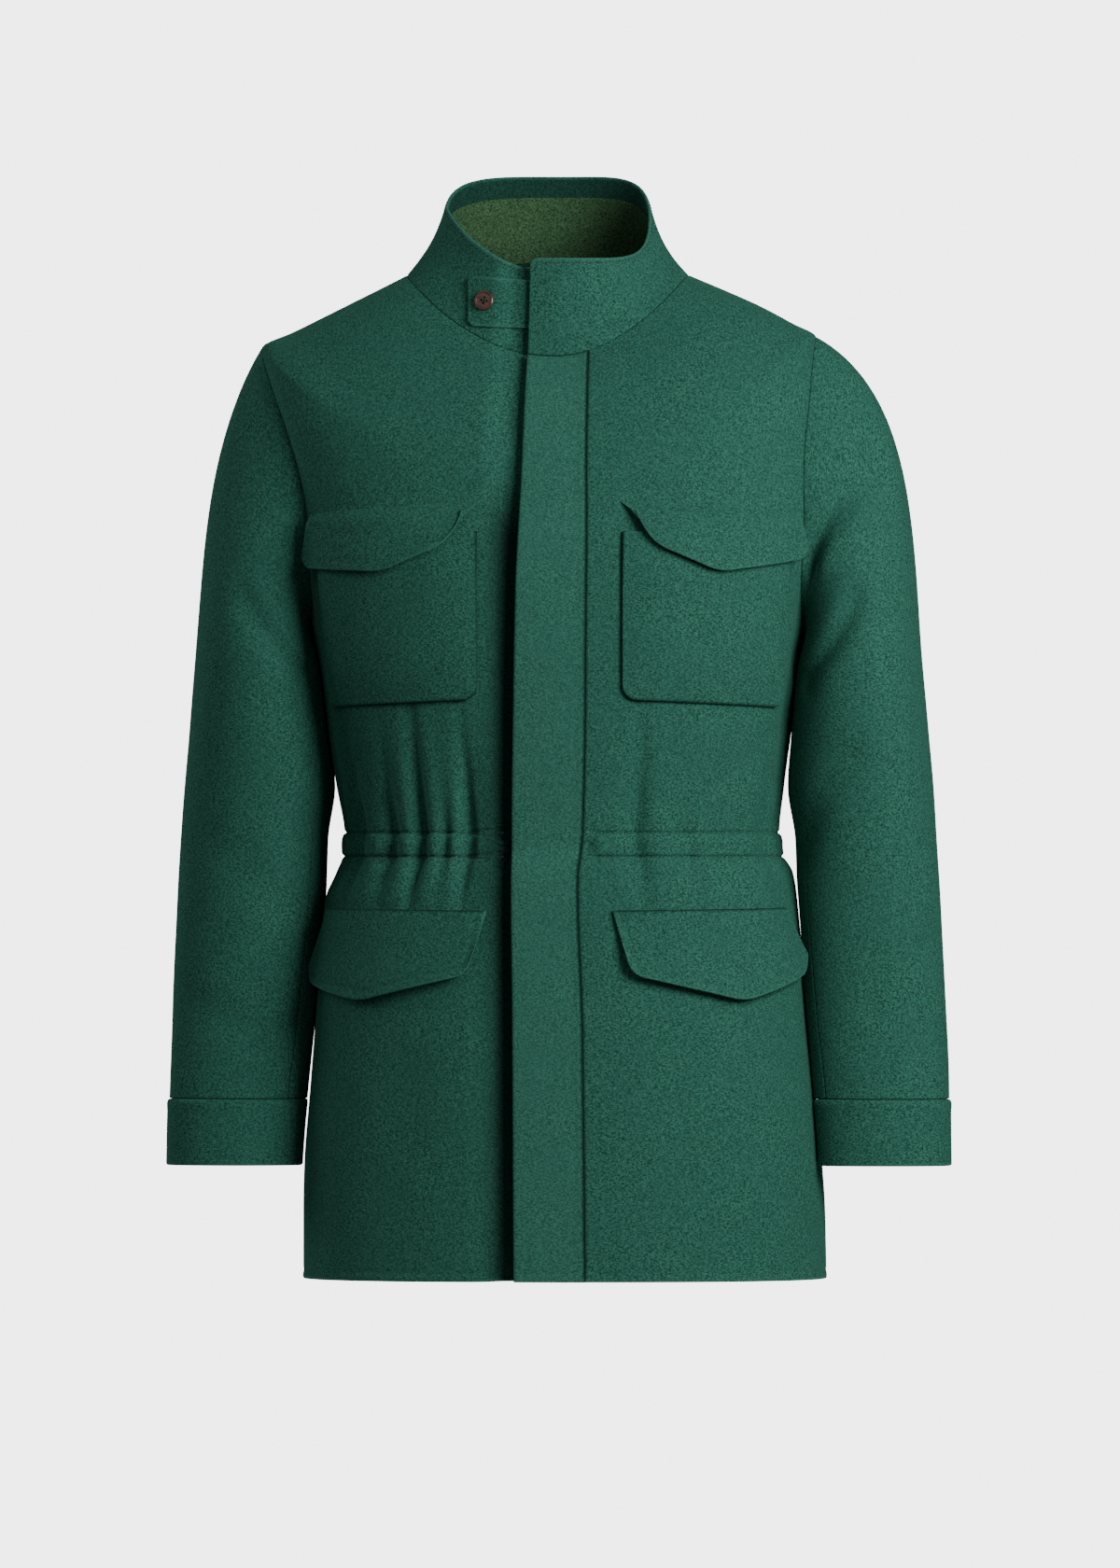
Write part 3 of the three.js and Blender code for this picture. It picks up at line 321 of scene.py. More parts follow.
class Curves:
    """Columns of a table as cubic curves that never overshoot: the slope at each row is the
    harmonic mean of the slopes beside it, or level where these differ in sign."""

    def __init__(self, rows, along):
        self.places = rows[along].astype(float)
        names = [name for name in rows if name != along]
        self.tracks = {name: rows[name].astype(float) for name in names}
        self.slopes = {name: self._slopes(values) for name, values in self.tracks.items()}

    def _slopes(self, values):
        rise = np.diff(values) / np.diff(self.places)
        before, after = rise[:-1], rise[1:]
        same = before * after > 0
        inner = np.where(same, 2 * before * after / np.where(same, before + after, 1), 0)
        return np.concatenate([rise[:1], inner, rise[-1:]])

    def __call__(self, name, place):
        i = np.clip(np.searchsorted(self.places, place, side="right") - 1, 0, len(self.places) - 2)
        span = self.places[i + 1] - self.places[i]
        t = np.clip((place - self.places[i]) / span, 0, 1)
        values, slopes = self.tracks[name], self.slopes[name]
        return hermite(values[i], values[i + 1], slopes[i] * span, slopes[i + 1] * span, t)


def hermite(start, end, leaving, arriving, t):
    """The cubic from start to end with those slopes at its ends."""
    square, cube = t * t, t * t * t
    return (
        (2 * cube - 3 * square + 1) * start + (cube - 2 * square + t) * leaving
        + (3 * square - 2 * cube) * end + (cube - square) * arriving
    )


def facing(surface, a, b, step=1.0):
    """Outward unit vectors of a surface of two numbers: the cross product of its two slopes."""
    along_a = surface(a + step, b) - surface(a - step, b)
    along_b = surface(a, b + step) - surface(a, b - step)
    return unit(np.cross(along_b, along_a))


def crease(u, v, from_u, from_v, to_u, to_v, wide):
    """1 on the line between two places, falling off as a bell with the distance from it."""
    run_u, run_v = to_u - from_u, to_v - from_v
    share = np.clip(((u - from_u) * run_u + (v - from_v) * run_v) / (run_u**2 + run_v**2), 0, 1)
    return bell(np.hypot(u - from_u - share * run_u, v - from_v - share * run_v), wide)


# Body surface, by level and by girth from the middle of the front

ring_curves = Curves(RINGS, "level")
placket_curves = Curves(PLACKET, "level")


def super_reach(across, ahead, wide, deep, square):
    return (np.abs(across / wide) ** square + np.abs(ahead / deep) ** square) ** (-1 / square)


def plain_ring(level, angle):
    """A superellipse of half widths and depths from the table, its front and back hung lower by
    the square of their share of the depth, and tilted a little from side to side."""
    ring = {name: ring_curves(name, level) for name in ring_curves.tracks}
    across, ahead = np.sin(angle), np.cos(angle)
    wide = np.where(across > 0, ring["left"], ring["right"])
    deep = np.where(ahead > 0, ring["front"], ring["back"])
    lag = np.where(ahead > 0, ring["front_lag"], ring["back_lag"])
    reach = super_reach(across, ahead, wide, deep, ring["square"])
    x, y = across * reach, -ahead * reach
    return np.stack([x, y, level - lag * (y / deep) ** 2 + ring["tilt"] * x / wide], axis=-1)


def ring_point(level, angle):
    """The mean of plain rings a little above and below, most at the middle of front and back."""
    spread = EVENED_REACH * np.cos(angle) ** 2 * smooth(EVENED_FROM, EVENED_TO, level)
    reach = np.clip(np.minimum(spread, NECK - level), 0, None)
    parts = ((-1, 0.125), (-0.5, 0.25), (0, 0.25), (0.5, 0.25), (1, 0.125))
    return sum(share * plain_ring(level + part * reach, angle) for part, share in parts)


LEVEL_STEP, ANGLE_STEPS, SHARE_STEPS = 2.0, 180, 240
known_levels = np.arange(HEM, NECK + 0.1, LEVEL_STEP)
known_angles = np.linspace(0, np.pi, ANGLE_STEPS + 1)
known_shares = np.linspace(0, 1, SHARE_STEPS + 1)


def known_girths(side):
    """Girth from the middle of the front at each known level and angle, and its inverse."""
    points = ring_point(known_levels[:, None], side * known_angles[None, :])
    steps = np.linalg.norm(np.diff(points, axis=1), axis=-1)
    runs = run_of(steps, 1)
    angles = np.array([np.interp(known_shares * run[-1], run, known_angles) for run in runs])
    return runs, angles


GIRTHS = {side: known_girths(side) for side in SIDES}


def look_up(grid, level, place, places):
    """Value of a grid between its known levels and places, in even steps both ways."""
    row = np.clip((level - HEM) / LEVEL_STEP, 0, len(known_levels) - 1.001)
    column = np.clip(place / places[-1] * (len(places) - 1), 0, len(places) - 1.001)
    i, j = row.astype(int), column.astype(int)
    down, across = row - i, column - j
    low = mix(grid[i, j], grid[i, j + 1], across)
    return mix(low, mix(grid[i + 1, j], grid[i + 1, j + 1], across), down)


def by_side(side, value):
    """value(side) where side is LEFT, and value for the other side elsewhere."""
    return np.where(side > 0, value(LEFT), value(RIGHT))


def girth_to(level, angle):
    level, angle = alike(level, angle)
    side = np.where(angle < 0, RIGHT, LEFT)
    return side * by_side(side, lambda s: look_up(GIRTHS[s][0], level, np.abs(angle), known_angles))


def angle_at(level, girth):
    level, girth = alike(level, girth)
    side = np.where(girth < 0, RIGHT, LEFT)
    total = np.abs(girth_to(level, side * np.pi))
    share = np.clip(np.abs(girth) / total, 0, 1)
    return side * by_side(side, lambda s: look_up(GIRTHS[s][1], level, share, known_shares))


def puckers(level, girth):
    """Small ripples of the cloth beside each of the two stitch lines of the waist channel."""
    ripple = np.sin(girth / 1.9 + 1.3 * np.sin(girth / 9.0)) + 0.6 * np.sin(girth / 3.7 + 1.0)
    near = bell(level - CHANNEL_LOW, PUCKER_WIDE) + bell(level - CHANNEL_HIGH, PUCKER_WIDE)
    return PUCKER * near * ripple


def relief(level, girth):
    """How far the cloth stands out from the plain rings: gathers, waist channel and creases."""
    side = np.where(girth < 0, RIGHT, LEFT)
    to_side = np.abs(girth_to(level, side * np.pi / 2))
    to_back = np.abs(girth_to(level, side * np.pi))
    far = np.abs(girth)
    on_back = far > to_side
    length = np.where(on_back, to_back - to_side, to_side)
    share = np.where(on_back, side * (to_back - far) / length, far / to_side)
    panel = np.where(on_back, "back", np.where(girth < 0, "right", "left"))
    above, below = np.maximum(level - WAIST, 0), np.maximum(WAIST - level, 0)
    out = BODY_WAVES * wander(girth, level, 1) * smooth(0, 60, to_back - far)
    for name, at, wide, deep, up, down, lean in zip(*GATHERS.values()):
        off = (share - at) * length
        shape = bell(off, wide * (1 + lean * np.sign(off)))
        out = out - (panel == name) * deep * bell(above, up) * bell(below, down) * shape
    for girth_from, level_from, girth_to_, level_to, wide, deep in zip(*BODY_FOLDS.values()):
        out = out - deep * crease(girth, level, girth_from, level_from, girth_to_, level_to, wide)
    in_channel = np.clip((level - CHANNEL_LOW) / (CHANNEL_HIGH - CHANNEL_LOW), 0, 1)
    plain = np.where(on_back, 1, smooth(CHANNEL_START, CHANNEL_FULL, far))
    out = out + plain * CHANNEL_PROUD * np.sin(np.pi * in_channel) ** CHANNEL_POWER
    for line in (CHANNEL_LOW, CHANNEL_HIGH):
        out = out - plain * CHANNEL_GROOVE * bell(level - line, GROOVE_WIDE)
    out = out + plain * puckers(level, girth)
    return out + sewn_line(level - HEM, *HEM_GROOVE) + sewn_line(level - HEM, *HEM_RIDGE)


def plain_body(level, girth, out=0.0):
    """The rings by level and girth, moved out along the level normal of their superellipse."""
    level = np.clip(level, HEM, NECK)
    ring = {name: ring_curves(name, level) for name in ("left", "right", "front", "back", "square")}
    point = ring_point(level, angle_at(level, girth))
    wide = np.where(point[..., 0] > 0, ring["left"], ring["right"])
    deep = np.where(point[..., 1] < 0, ring["front"], ring["back"])
    power = ring["square"] - 1
    across = np.sign(point[..., 0]) * np.abs(point[..., 0] / wide) ** power / wide
    ahead = np.sign(point[..., 1]) * np.abs(point[..., 1] / deep) ** power / deep
    outward = unit(np.stack([across, ahead, np.zeros_like(across)], axis=-1))
    return point + outward * np.asarray(out)[..., None]


def body_point(level, girth):
    return plain_body(level, girth, relief(np.clip(level, HEM, NECK), girth))


def body_facing(level, girth):
    return facing(body_point, level, girth)


def level_at(z, girth):
    """The level where the plain body reaches each height, by halving the span that holds it."""
    low, high = np.full(np.shape(z), HEM), np.full(np.shape(z), NECK)
    for _ in range(26):
        middle = (low + high) / 2
        under = plain_body(middle, girth)[..., 2] < z
        low, high = np.where(under, middle, low), np.where(under, high, middle)
    return (low + high) / 2


# Armhole and sleeve. around is 0 at the top of the armhole, 90 at its front, 180 underarm.

sleeve_curves = Curves(SLEEVE, "z")


def armhole_place(side, around):
    level = mix(ARMPIT, SHOULDER, (1 + np.cos(np.radians(around))) / 2)
    swing = np.sin(np.radians(around))
    turn = 90 - swing * np.where(swing > 0, ARMHOLE_FRONT, ARMHOLE_BACK)
    return level, girth_to(level, side * np.radians(turn))


def sleeve_ring(side, around, z):
    """A superellipse between the outer, inner, front and back distances of the table."""
    outer, inner = sleeve_curves("outer", z), sleeve_curves("inner", z)
    front, back = sleeve_curves("front", z), sleeve_curves("back", z)
    out, ahead = np.cos(np.radians(around)), np.sin(np.radians(around))
    ease = SLEEVE_EASE[side] * smooth(CUFF_SEAM, CUFF_SEAM + 120, z)
    reach = super_reach(out, ahead, (outer - inner) / 2 + ease, (back - front) / 2, SLEEVE_SQUARE)
    x = side * ((outer + inner) / 2 + out * reach)
    return np.stack([x, (front + back) / 2 - ahead * reach, z + 0 * reach], axis=-1)


def sleeve_relief(side, around, along):
    turn = np.mod(around, 360) * PER_DEGREE
    out = SLEEVE_WAVES * wander(turn, along, 3 + side) * smooth(0, 30, along)
    for which, turn_from, along_from, turn_to, along_to, wide, deep in zip(*SLEEVE_FOLDS.values()):
        if which == side:
            ends = (turn_from * PER_DEGREE, along_from, turn_to * PER_DEGREE, along_to)
            out = out - deep * crease(turn, along, *ends, wide)
    return out


def sleeve_bare(side, around, along):
    """A cubic from the armhole, which it leaves at its own slope, to the first ring of the table,
    and below that the rings of the table."""
    level, girth = armhole_place(side, around)
    start = body_point(level, girth)
    cap_end = np.full(np.shape(around), CAP_END)
    end = sleeve_ring(side, around, cap_end)
    below = sleeve_ring(side, around, cap_end - 1)
    length = np.linalg.norm(end - start, axis=-1, keepdims=True)
    top, under = LEAVES[side]
    slope = np.radians(mix(under, top, (1 + np.cos(np.radians(around))) / 2))
    leaving = np.stack([side * np.cos(slope), 0 * slope, -np.sin(slope)], axis=-1) * length
    t = np.clip(along / CAP_LENGTH, 0, 1)[..., None]
    cap = hermite(start, end, leaving, unit(below - end) * length, t)
    arm = sleeve_ring(side, around, CAP_END - np.maximum(along - CAP_LENGTH, 0))
    return np.where((along > CAP_LENGTH)[..., None], arm, cap)


def rest_on_body(side, point):
    """Where a sleeve would reach into the body's side it rests against it: x grows by the soft
    plus of how far it is inside."""
    level = np.clip(point[..., 2], HEM, NECK)
    deep = np.where(point[..., 1] < 0, ring_curves("front", level), ring_curves("back", level))
    wide = ring_curves("left" if side == LEFT else "right", level)
    square = ring_curves("square", level)
    room = np.clip(1 - np.abs(point[..., 1] / deep) ** square, 0, 1)
    over = wide * room ** (1 / square) + SLEEVE_REST - side * point[..., 0]
    push = SLEEVE_SOFT * np.logaddexp(0, over / SLEEVE_SOFT)
    moved = point.copy()
    moved[..., 0] += side * push * smooth(0, 12, ARMPIT - point[..., 2])
    return moved


def sleeve_point(side, around, along):
    around, along = alike(around, along)
    normal = side * facing(lambda a, b: sleeve_bare(side, b, a), along, around)
    out = sleeve_relief(side, around, along)
    return rest_on_body(side, sleeve_bare(side, around, along) + normal * out[..., None])


def sleeve_facing(side, around, along):
    return side * facing(lambda a, b: sleeve_point(side, b, a), along, around)


def mitre(one, other):
    """Where two walls meet, the way in along the plane that halves the corner between them."""
    middle = unit(one + other)
    stretch = 1 / np.maximum(np.sum(middle * one, axis=-1, keepdims=True), 0.01)
    return middle * np.minimum(stretch, DEEPEST_MITRE)


def armhole_mitre(side, around):
    level, girth = armhole_place(side, around)
    return mitre(body_facing(level, girth), sleeve_facing(side, around, 0 * around))


# Collar. angle runs from the over end, round the wearer's left and the back, to the under end.


def wrap(angle):
    return np.arctan2(np.sin(angle), np.cos(angle))


def collar_top(angle, depth):
    """Height of the top edge: from the back it falls to both sides as a sine, then steeply to the
    front of the over end, which is nearly level, and evenly to the tip of the under end."""
    back = mix(np.where(angle < np.pi, COLLAR_Z[LEFT], COLLAR_Z[RIGHT]), COLLAR_Z["back"],
               np.sin(depth * np.pi / 2))
    over = mix(COLLAR_Z["front"], COLLAR_Z[LEFT], np.maximum(1 - depth, 0) ** 2.6)
    under = mix(COLLAR_Z[RIGHT], COLLAR_Z["under"], depth**1.8)
    return np.where(np.cos(angle) < 0, back, np.where(angle < np.pi, over, under))


NECK_TURNS = np.linspace(-np.pi, np.pi, 721)
NECK_GIRTHS = girth_to(NECK, NECK_TURNS)
NECK_RING = body_point(np.full(len(NECK_TURNS), NECK), NECK_GIRTHS)


def neck_seam(angle):
    return np.stack([np.interp(wrap(angle), NECK_TURNS, track) for track in NECK_RING.T], axis=-1)


def collar_bare(rise, angle):
    """Straight lines from the neck seam to the top edge, which is a superellipse."""
    base = neck_seam(angle)
    across, ahead = np.sin(angle), np.cos(angle)
    wide = np.where(across > 0, COLLAR_LEFT, COLLAR_RIGHT)
    deep = np.where(ahead > 0, COLLAR_FRONT, COLLAR_BACK)
    reach = super_reach(across, ahead, wide, deep, COLLAR_SQUARE)
    y = -ahead * reach
    top = np.stack([across * reach, y, collar_top(angle, np.abs(y) / deep)], axis=-1)
    return mix(base, top, rise[..., None])


def collar_facing_of(surface, rise, angle):
    return facing(surface, rise, angle, 0.02)


def collar_point(rise, angle):
    """The bare collar drawn in halfway up its sides, its under end sunk below the over end."""
    rise, angle = alike(rise, angle)
    drawn = COLLAR_DRAWN * np.abs(np.sin(angle)) * np.sin(np.pi * np.clip(rise, 0, 1))
    girth = np.interp(wrap(angle), NECK_TURNS, NECK_GIRTHS)
    sunk = np.where(angle > np.pi, UNDERLAP_SINK * smooth(SINK_FROM, SINK_TO, girth), 0)
    soft = COLLAR_WAVES * wander(angle * 90, rise * 70, 5) * np.sin(np.pi * np.clip(rise, 0, 1))
    out = soft - drawn - sunk
    return collar_bare(rise, angle) + collar_facing_of(collar_bare, rise, angle) * out[..., None]


def collar_facing(rise, angle):
    return collar_facing_of(collar_point, rise, angle)


def neck_mitre(girth):
    level = np.full(np.shape(girth), NECK)
    around = np.mod(angle_at(level, girth), 2 * np.pi)
    return mitre(body_facing(level, girth), collar_facing_of(collar_bare, 0 * around, around))


def collar_place(x, z):
    """Angle and rise of the place on the under end with that x and z, by halving the angle."""
    x, z = alike(x, z)
    low, high = np.full(x.shape, 1.5 * np.pi), np.full(x.shape, UNDER_END)
    for _ in range(26):
        angle = (low + high) / 2
        foot = collar_point(0 * angle, angle)[..., 2]
        rise = (z - foot) / (collar_point(0 * angle + 1, angle)[..., 2] - foot)
        before = collar_point(rise, angle)[..., 0] < x
        low, high = np.where(before, angle, low), np.where(before, high, angle)
    return rise, angle


# Shells: a sheet of cloth of real thickness with rolled edges

BORDER = np.array([0, 0.12, 0.5, 1.2, 3.0])


def roll(distance, radius):
    """Half thickness near an edge, as a share: a quarter circle that starts at the edge."""
    near = np.clip(distance / radius, 0, 1)
    return np.sqrt(np.clip(1 - (1 - near) ** 2, 0, 1))


def even(start, end, pitch, start_border=True, end_border=True):
    """Places from start to end, about a pitch apart, and close together at the edges."""
    low = start + BORDER if start_border else np.array([start])
    high = end - BORDER[::-1] if end_border else np.array([end])
    steps = max(int(np.ceil((high[0] - low[-1]) / pitch)), 1)
    return np.concatenate([low, np.linspace(low[-1], high[0], steps + 1)[1:-1], high])


def finer(places, start, end, pitch):
    """The same places with those between start and end a smaller pitch apart."""
    inside = (places > start) & (places < end)
    return np.sort(np.concatenate([places[~inside], np.arange(start, end + 0.01, pitch)]))


def spacing(points):
    """Distance run across and along a grid of points, at each point."""
    across = np.linalg.norm(np.diff(points, axis=1), axis=-1)
    along = np.linalg.norm(np.diff(points, axis=0), axis=-1)
    return run_of(across, 1), run_of(along, 0)


# How far from its edge a sheet starts to roll: little at a seam, its half thickness elsewhere
SEAM, FREE = 0.7, 1.3
EDGE_WIDE = 1.5


def shell(name, outer, way, thick, rolls, closed=False, shades=None, painted_lights=(0.0, 0.0)):
    """A closed sheet: its outer grid, and the same grid moved in by the way times the thickness.
    Towards each edge both draw together along a quarter circle, so that the edge is rolled. rolls
    are the radii at its first row, last row, first column and last column. shades are 1 where such
    an edge gets a painted highlight of the nap's sheen, -1 where it gets painted shade as in a
    crease, and 0 elsewhere. The last argument gives painted light and shade of the same kind to
    the whole of the outer and the inner skin."""
    # Unless given otherwise, every free edge gets a painted highlight
    shades = shades or [float(radius >= FREE) for radius in rolls]
    run_across, run_along = spacing(outer)
    edges = [run_along, run_along[-1:] - run_along]
    if not closed:
        edges += [run_across, run_across[:, -1:] - run_across]
    share, pale = 1.0, 0.0
    for distance, radius, shade in zip(edges, rolls, shades):
        share = share * roll(distance, radius)
        # Painted highlight where the shade is above 0 and painted shade where it is below 0, fading from
        # the edge
        pale = pale + shade * bell(distance, EDGE_WIDE)
    half = np.broadcast_to(thick, outer.shape[:2]) / 2
    middle = outer - way * half[..., None]
    skins = [middle + way * (half * share)[..., None], middle - way * (half * share)[..., None]]
    rows, columns = outer.shape[:2]
    number = np.arange(rows * columns).reshape(rows, columns)
    inner = number + rows * columns
    inner[0], inner[-1] = number[0], number[-1]
    if not closed:
        inner[:, 0], inner[:, -1] = number[:, 0], number[:, -1]
    i, j = grid_of(np.arange(rows - 1), np.arange(columns - 1 + closed))
    k = (j + 1) % columns
    corners = ((i, j), (i, k), (i + 1, k), (i + 1, j))
    faces = np.concatenate([
        np.stack([number[place] for place in corners], axis=-1).reshape(-1, 4),
        np.stack([inner[place] for place in corners[::-1]], axis=-1).reshape(-1, 4),
    ])
    u, v = np.meshgrid(run_across.mean(axis=0), run_along.mean(axis=1))
    flat = np.tile(np.stack([u.ravel(), v.ravel()], axis=-1), (2, 1))[faces]
    if closed:
        girth = run_across[:, -1].mean() + np.linalg.norm(outer[:, 0] - outer[:, -1], axis=-1).mean()
        last = np.tile((j == columns - 1).ravel(), 2)
        flat[..., 0] += girth * last[:, None] * np.isin(np.arange(4), (1, 2))
    used, index = np.unique(faces, return_inverse=True)
    points = np.concatenate([skin.reshape(-1, 3) for skin in skins])[used]
    piece = build(name, points, index.reshape(faces.shape), flat)
    # The edge attribute carries this painted light and shade, and that of the whole skins, to the material
    if any(shades) or any(np.any(painted_light) for painted_light in painted_lights):
        edge = piece.data.attributes.new("edge", "FLOAT", "POINT")
        pale = np.concatenate([np.clip(pale + painted_light, -1, 1).ravel() for painted_light in painted_lights])
        edge.data.foreach_set("value", pale[used].astype(np.float32))
    return piece


def put(name, data):
    thing = bpy.data.objects.new(name, data)
    bpy.context.scene.collection.objects.link(thing)
    return thing


def build(name, points, faces, flat=None):
    """A mesh object from points in millimetres and quads, turned outwards, with a flat map."""
    a, b, c, d = (points[faces[:, n]] for n in range(4))
    volume = np.sum(np.cross(b - a, c - a) * (a + b + c)) + np.sum(np.cross(c - a, d - a) * (a + c + d))
    if volume < 0:
        faces = faces[:, ::-1]
        flat = None if flat is None else flat[:, ::-1]
    mesh = bpy.data.meshes.new(name)
    mesh.vertices.add(len(points))
    mesh.vertices.foreach_set("co", (points * MM).astype(np.float32).ravel())
    mesh.loops.add(faces.size)
    mesh.loops.foreach_set("vertex_index", faces.astype(np.int32).ravel())
    mesh.polygons.add(len(faces))
    mesh.polygons.foreach_set("loop_start", np.arange(0, faces.size, 4, dtype=np.int32))
    mesh.polygons.foreach_set("use_smooth", np.ones(len(faces), dtype=bool))
    if flat is not None:
        layer = mesh.uv_layers.new(name="cloth")
        layer.data.foreach_set("uv", (flat * MM).astype(np.float32).ravel())
    mesh.update(calc_edges=True)
    mesh.validate()
    return put(name, mesh)


def finish_piece(piece, nodes, material, size=None, rests_on=()):
    """Gives a piece its material and its place on the body, and hides the parts of the model that it stands
    for.
    """
    piece.data.materials.append(material)
    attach(piece, "root")
    if nodes:
        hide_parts(*nodes)
    if size:
        list(rests_on)
    return piece


def capsules(name, starts, ends, outward, radius, proud, sides=6, rings=5):
    """Stitches: each a short round thread that dips at both ends. A ring of points at each of a
    few places along it, its radius and height following half a sine from end to end."""
    starts, ends, outward = (np.asarray(a, float) for a in (starts, ends, outward))
    t = np.linspace(0, 1, rings)[None, :, None]
    turn = np.linspace(0, 2 * np.pi, sides, endpoint=False)[None, None, :]
    run = unit(ends - starts)
    across = unit(np.cross(run, outward))
    up = np.cross(across, run)
    bulge = np.sin(np.pi * np.clip(t, 0.02, 0.98)) ** 0.5
    height = proud * (np.sin(np.pi * t) ** 0.5 * 1.6 - 0.6)
    middle = mix(starts[:, None, None, :], ends[:, None, None, :], t[..., None])
    ring = (np.cos(turn) * radius * bulge)[..., None] * across[:, None, None, :]
    rise = (np.sin(turn) * radius * bulge + height)[..., None] * up[:, None, None, :]
    points = (middle + ring + rise).reshape(len(starts), rings * sides, 3)
    number = np.arange(rings * sides).reshape(rings, sides)
    i, j = grid_of(np.arange(rings - 1), np.arange(sides))
    k = (j + 1) % sides
    quads = np.stack([number[i, j], number[i, k], number[i + 1, k], number[i + 1, j]], -1)
    quads = quads.reshape(-1, 4)
    half = sides // 2
    for row, flip in ((0, 1), (rings - 1, -1)):
        ring_ = number[row]
        for n in range(half - 1):
            cap = [ring_[n], ring_[n + 1], ring_[sides - 2 - n], ring_[sides - 1 - n]]
            quads = np.concatenate([quads, [cap[::-1] if flip > 0 else cap]])
    shift = (np.arange(len(starts)) * rings * sides)[:, None, None]
    return build(name, points.reshape(-1, 3), (quads[None] + shift).reshape(-1, 4))


# Materials


class Varying:
    """A number that varies over the surface: each sum on it adds a Math node."""

    def __init__(self, nodes, socket):
        self.nodes, self.socket = nodes, socket

    def _sum(self, operation, first, second):
        return Varying(
            self.nodes, self.nodes.add("ShaderNodeMath", {"operation": operation}, {0: first, 1: second})
        )

    def __add__(self, other):
        return self._sum("ADD", self, other)

    def __sub__(self, other):
        return self._sum("SUBTRACT", self, other)

    def __rsub__(self, other):
        return self._sum("SUBTRACT", other, self)

    def __mul__(self, other):
        return self._sum("MULTIPLY", self, other)

    def within(self, low, high):
        """0 below low, 1 above high and in a straight line between them."""
        settings = {"interpolation_type": "LINEAR", "clamp": True}
        sockets = {"Value": self, "From Min": low, "From Max": high}
        return Varying(self.nodes, self.nodes.add("ShaderNodeMapRange", settings, sockets))

    __radd__, __rmul__ = __add__, __mul__


class Finish:
    """The nodes of a material or a world."""

    def __init__(self, owner):
        owner.use_nodes = True
        self.owner, self.tree = owner, owner.node_tree
        self.tree.nodes.clear()

    def add(self, kind, settings=None, sockets=None, output=0):
        node = self.tree.nodes.new(kind)
        for name, value in (settings or {}).items():
            setattr(node, name, value)
        for name, value in (sockets or {}).items():
            if isinstance(value, Varying):
                value = value.socket
            if isinstance(value, bpy.types.NodeSocket):
                self.tree.links.new(value, node.inputs[name])
            else:
                node.inputs[name].default_value = value
        return node.outputs[output] if node.outputs else None

    def place(self, flat, turn=0.0, scale=(1, 1, 1)):
        """Places on the cloth's flat map, or in the object, turned and scaled."""
        if flat:
            start = self.add("ShaderNodeUVMap", {"uv_map": "cloth"})
        else:
            start = self.add("ShaderNodeTexCoord", output=3)
        return self.add(
            "ShaderNodeMapping", {}, {"Vector": start, "Rotation": (0, 0, turn), "Scale": scale}
        )

    def noise(self, place, scale, detail, rough):
        sockets = {"Vector": place, "Scale": scale, "Detail": detail, "Roughness": rough}
        return Varying(self, self.add("ShaderNodeTexNoise", {}, sockets))

    def blend(self, factor, first, second):
        """A mix of two colours, each a tuple or a socket."""
        sockets = {0: factor, 6: first, 7: second}
        return self.add("ShaderNodeMix", {"data_type": "RGBA"}, sockets, output=2)

    def end(self, sockets):
        shader = self.add("ShaderNodeBsdfPrincipled", {}, sockets)
        self.add("ShaderNodeOutputMaterial", {}, {"Surface": shader})
        return self.owner


# Scale, detail and roughness of the noises in the cloth: grain, fine grain, patches of one slant
# of the twill or the other, and clouds
CLOTH_NOISES = ((620, 3, 0.6), (1500, 1, 0.5), (9, 2, 0.5), (24, 3, 0.5))
# The twill's two slants: turn, stretch and noise
TWILL = ((0.78, (1, 3.2, 1), (420, 1.5, 0.5)), (-0.86, (1, 3.4, 1), (380, 1.5, 0.5)))
GRAIN_SHARE, TWILL_SHARE, FINE_SHARE = 0.5, 0.35, 0.15


def scaled(color, factor, more=0.0):
    """A colour with its three parts multiplied and raised, none above 1."""
    return tuple(min(factor * part + more, 1.0) for part in color[:3]) + (1.0,)


def cloth_material(name, dark, middle, light, nap):
    """Felted cloth: grain of about two millimetres, short streaks both ways along the twill, and
    clouds as broad as a hand. Its edge attribute adds painted light: a painted highlight of the
    sheen where it is above 0, as along cut edges and over the placket, and painted shade where it
    is below 0, as in creases, on the underlap and inside the collar."""
    finish = Finish(bpy.data.materials.new(name))
    place = finish.place(False)
    grain, fine, patch, cloud = (finish.noise(place, *noise) for noise in CLOTH_NOISES)
    streak, cross = (finish.noise(finish.place(True, turn, size), *noise) for turn, size, noise in TWILL)
    which = patch.within(0.44, 0.56)
    twill = streak * which + cross * (1 - which)
    height = grain * GRAIN_SHARE + twill * TWILL_SHARE + fine * FINE_SHARE
    shade = height.within(0.41, 0.59)
    tone = finish.blend(shade.socket, dark, light)
    tone = finish.blend(cloud.within(0.3, 0.7) * 0.35, tone, middle)
    edge = Varying(finish, finish.add("ShaderNodeAttribute", {"attribute_name": "edge"}, output=2))
    # Painted light: pale is the colour of the painted highlight where the edge attribute is above 0, and
    # also the sheen's tint; a darker copy of dark is the painted shade where it is below 0
    pale = scaled(light, 1.5, 0.01)
    tone = finish.blend(edge * 0.3, tone, pale)
    tone = finish.blend(edge * -0.9, tone, scaled(dark, 0.2))
    bump = finish.add(
        "ShaderNodeBump", {}, {"Strength": nap, "Distance": 0.0012, "Height": height}
    )
    return finish.end({
        "Base Color": tone,
        "Roughness": 0.93,
        "Specular IOR Level": 0.12,
        "Sheen Weight": 0.55,
        "Sheen Roughness": 0.36,
        "Sheen Tint": pale,
        "Normal": bump,
    })


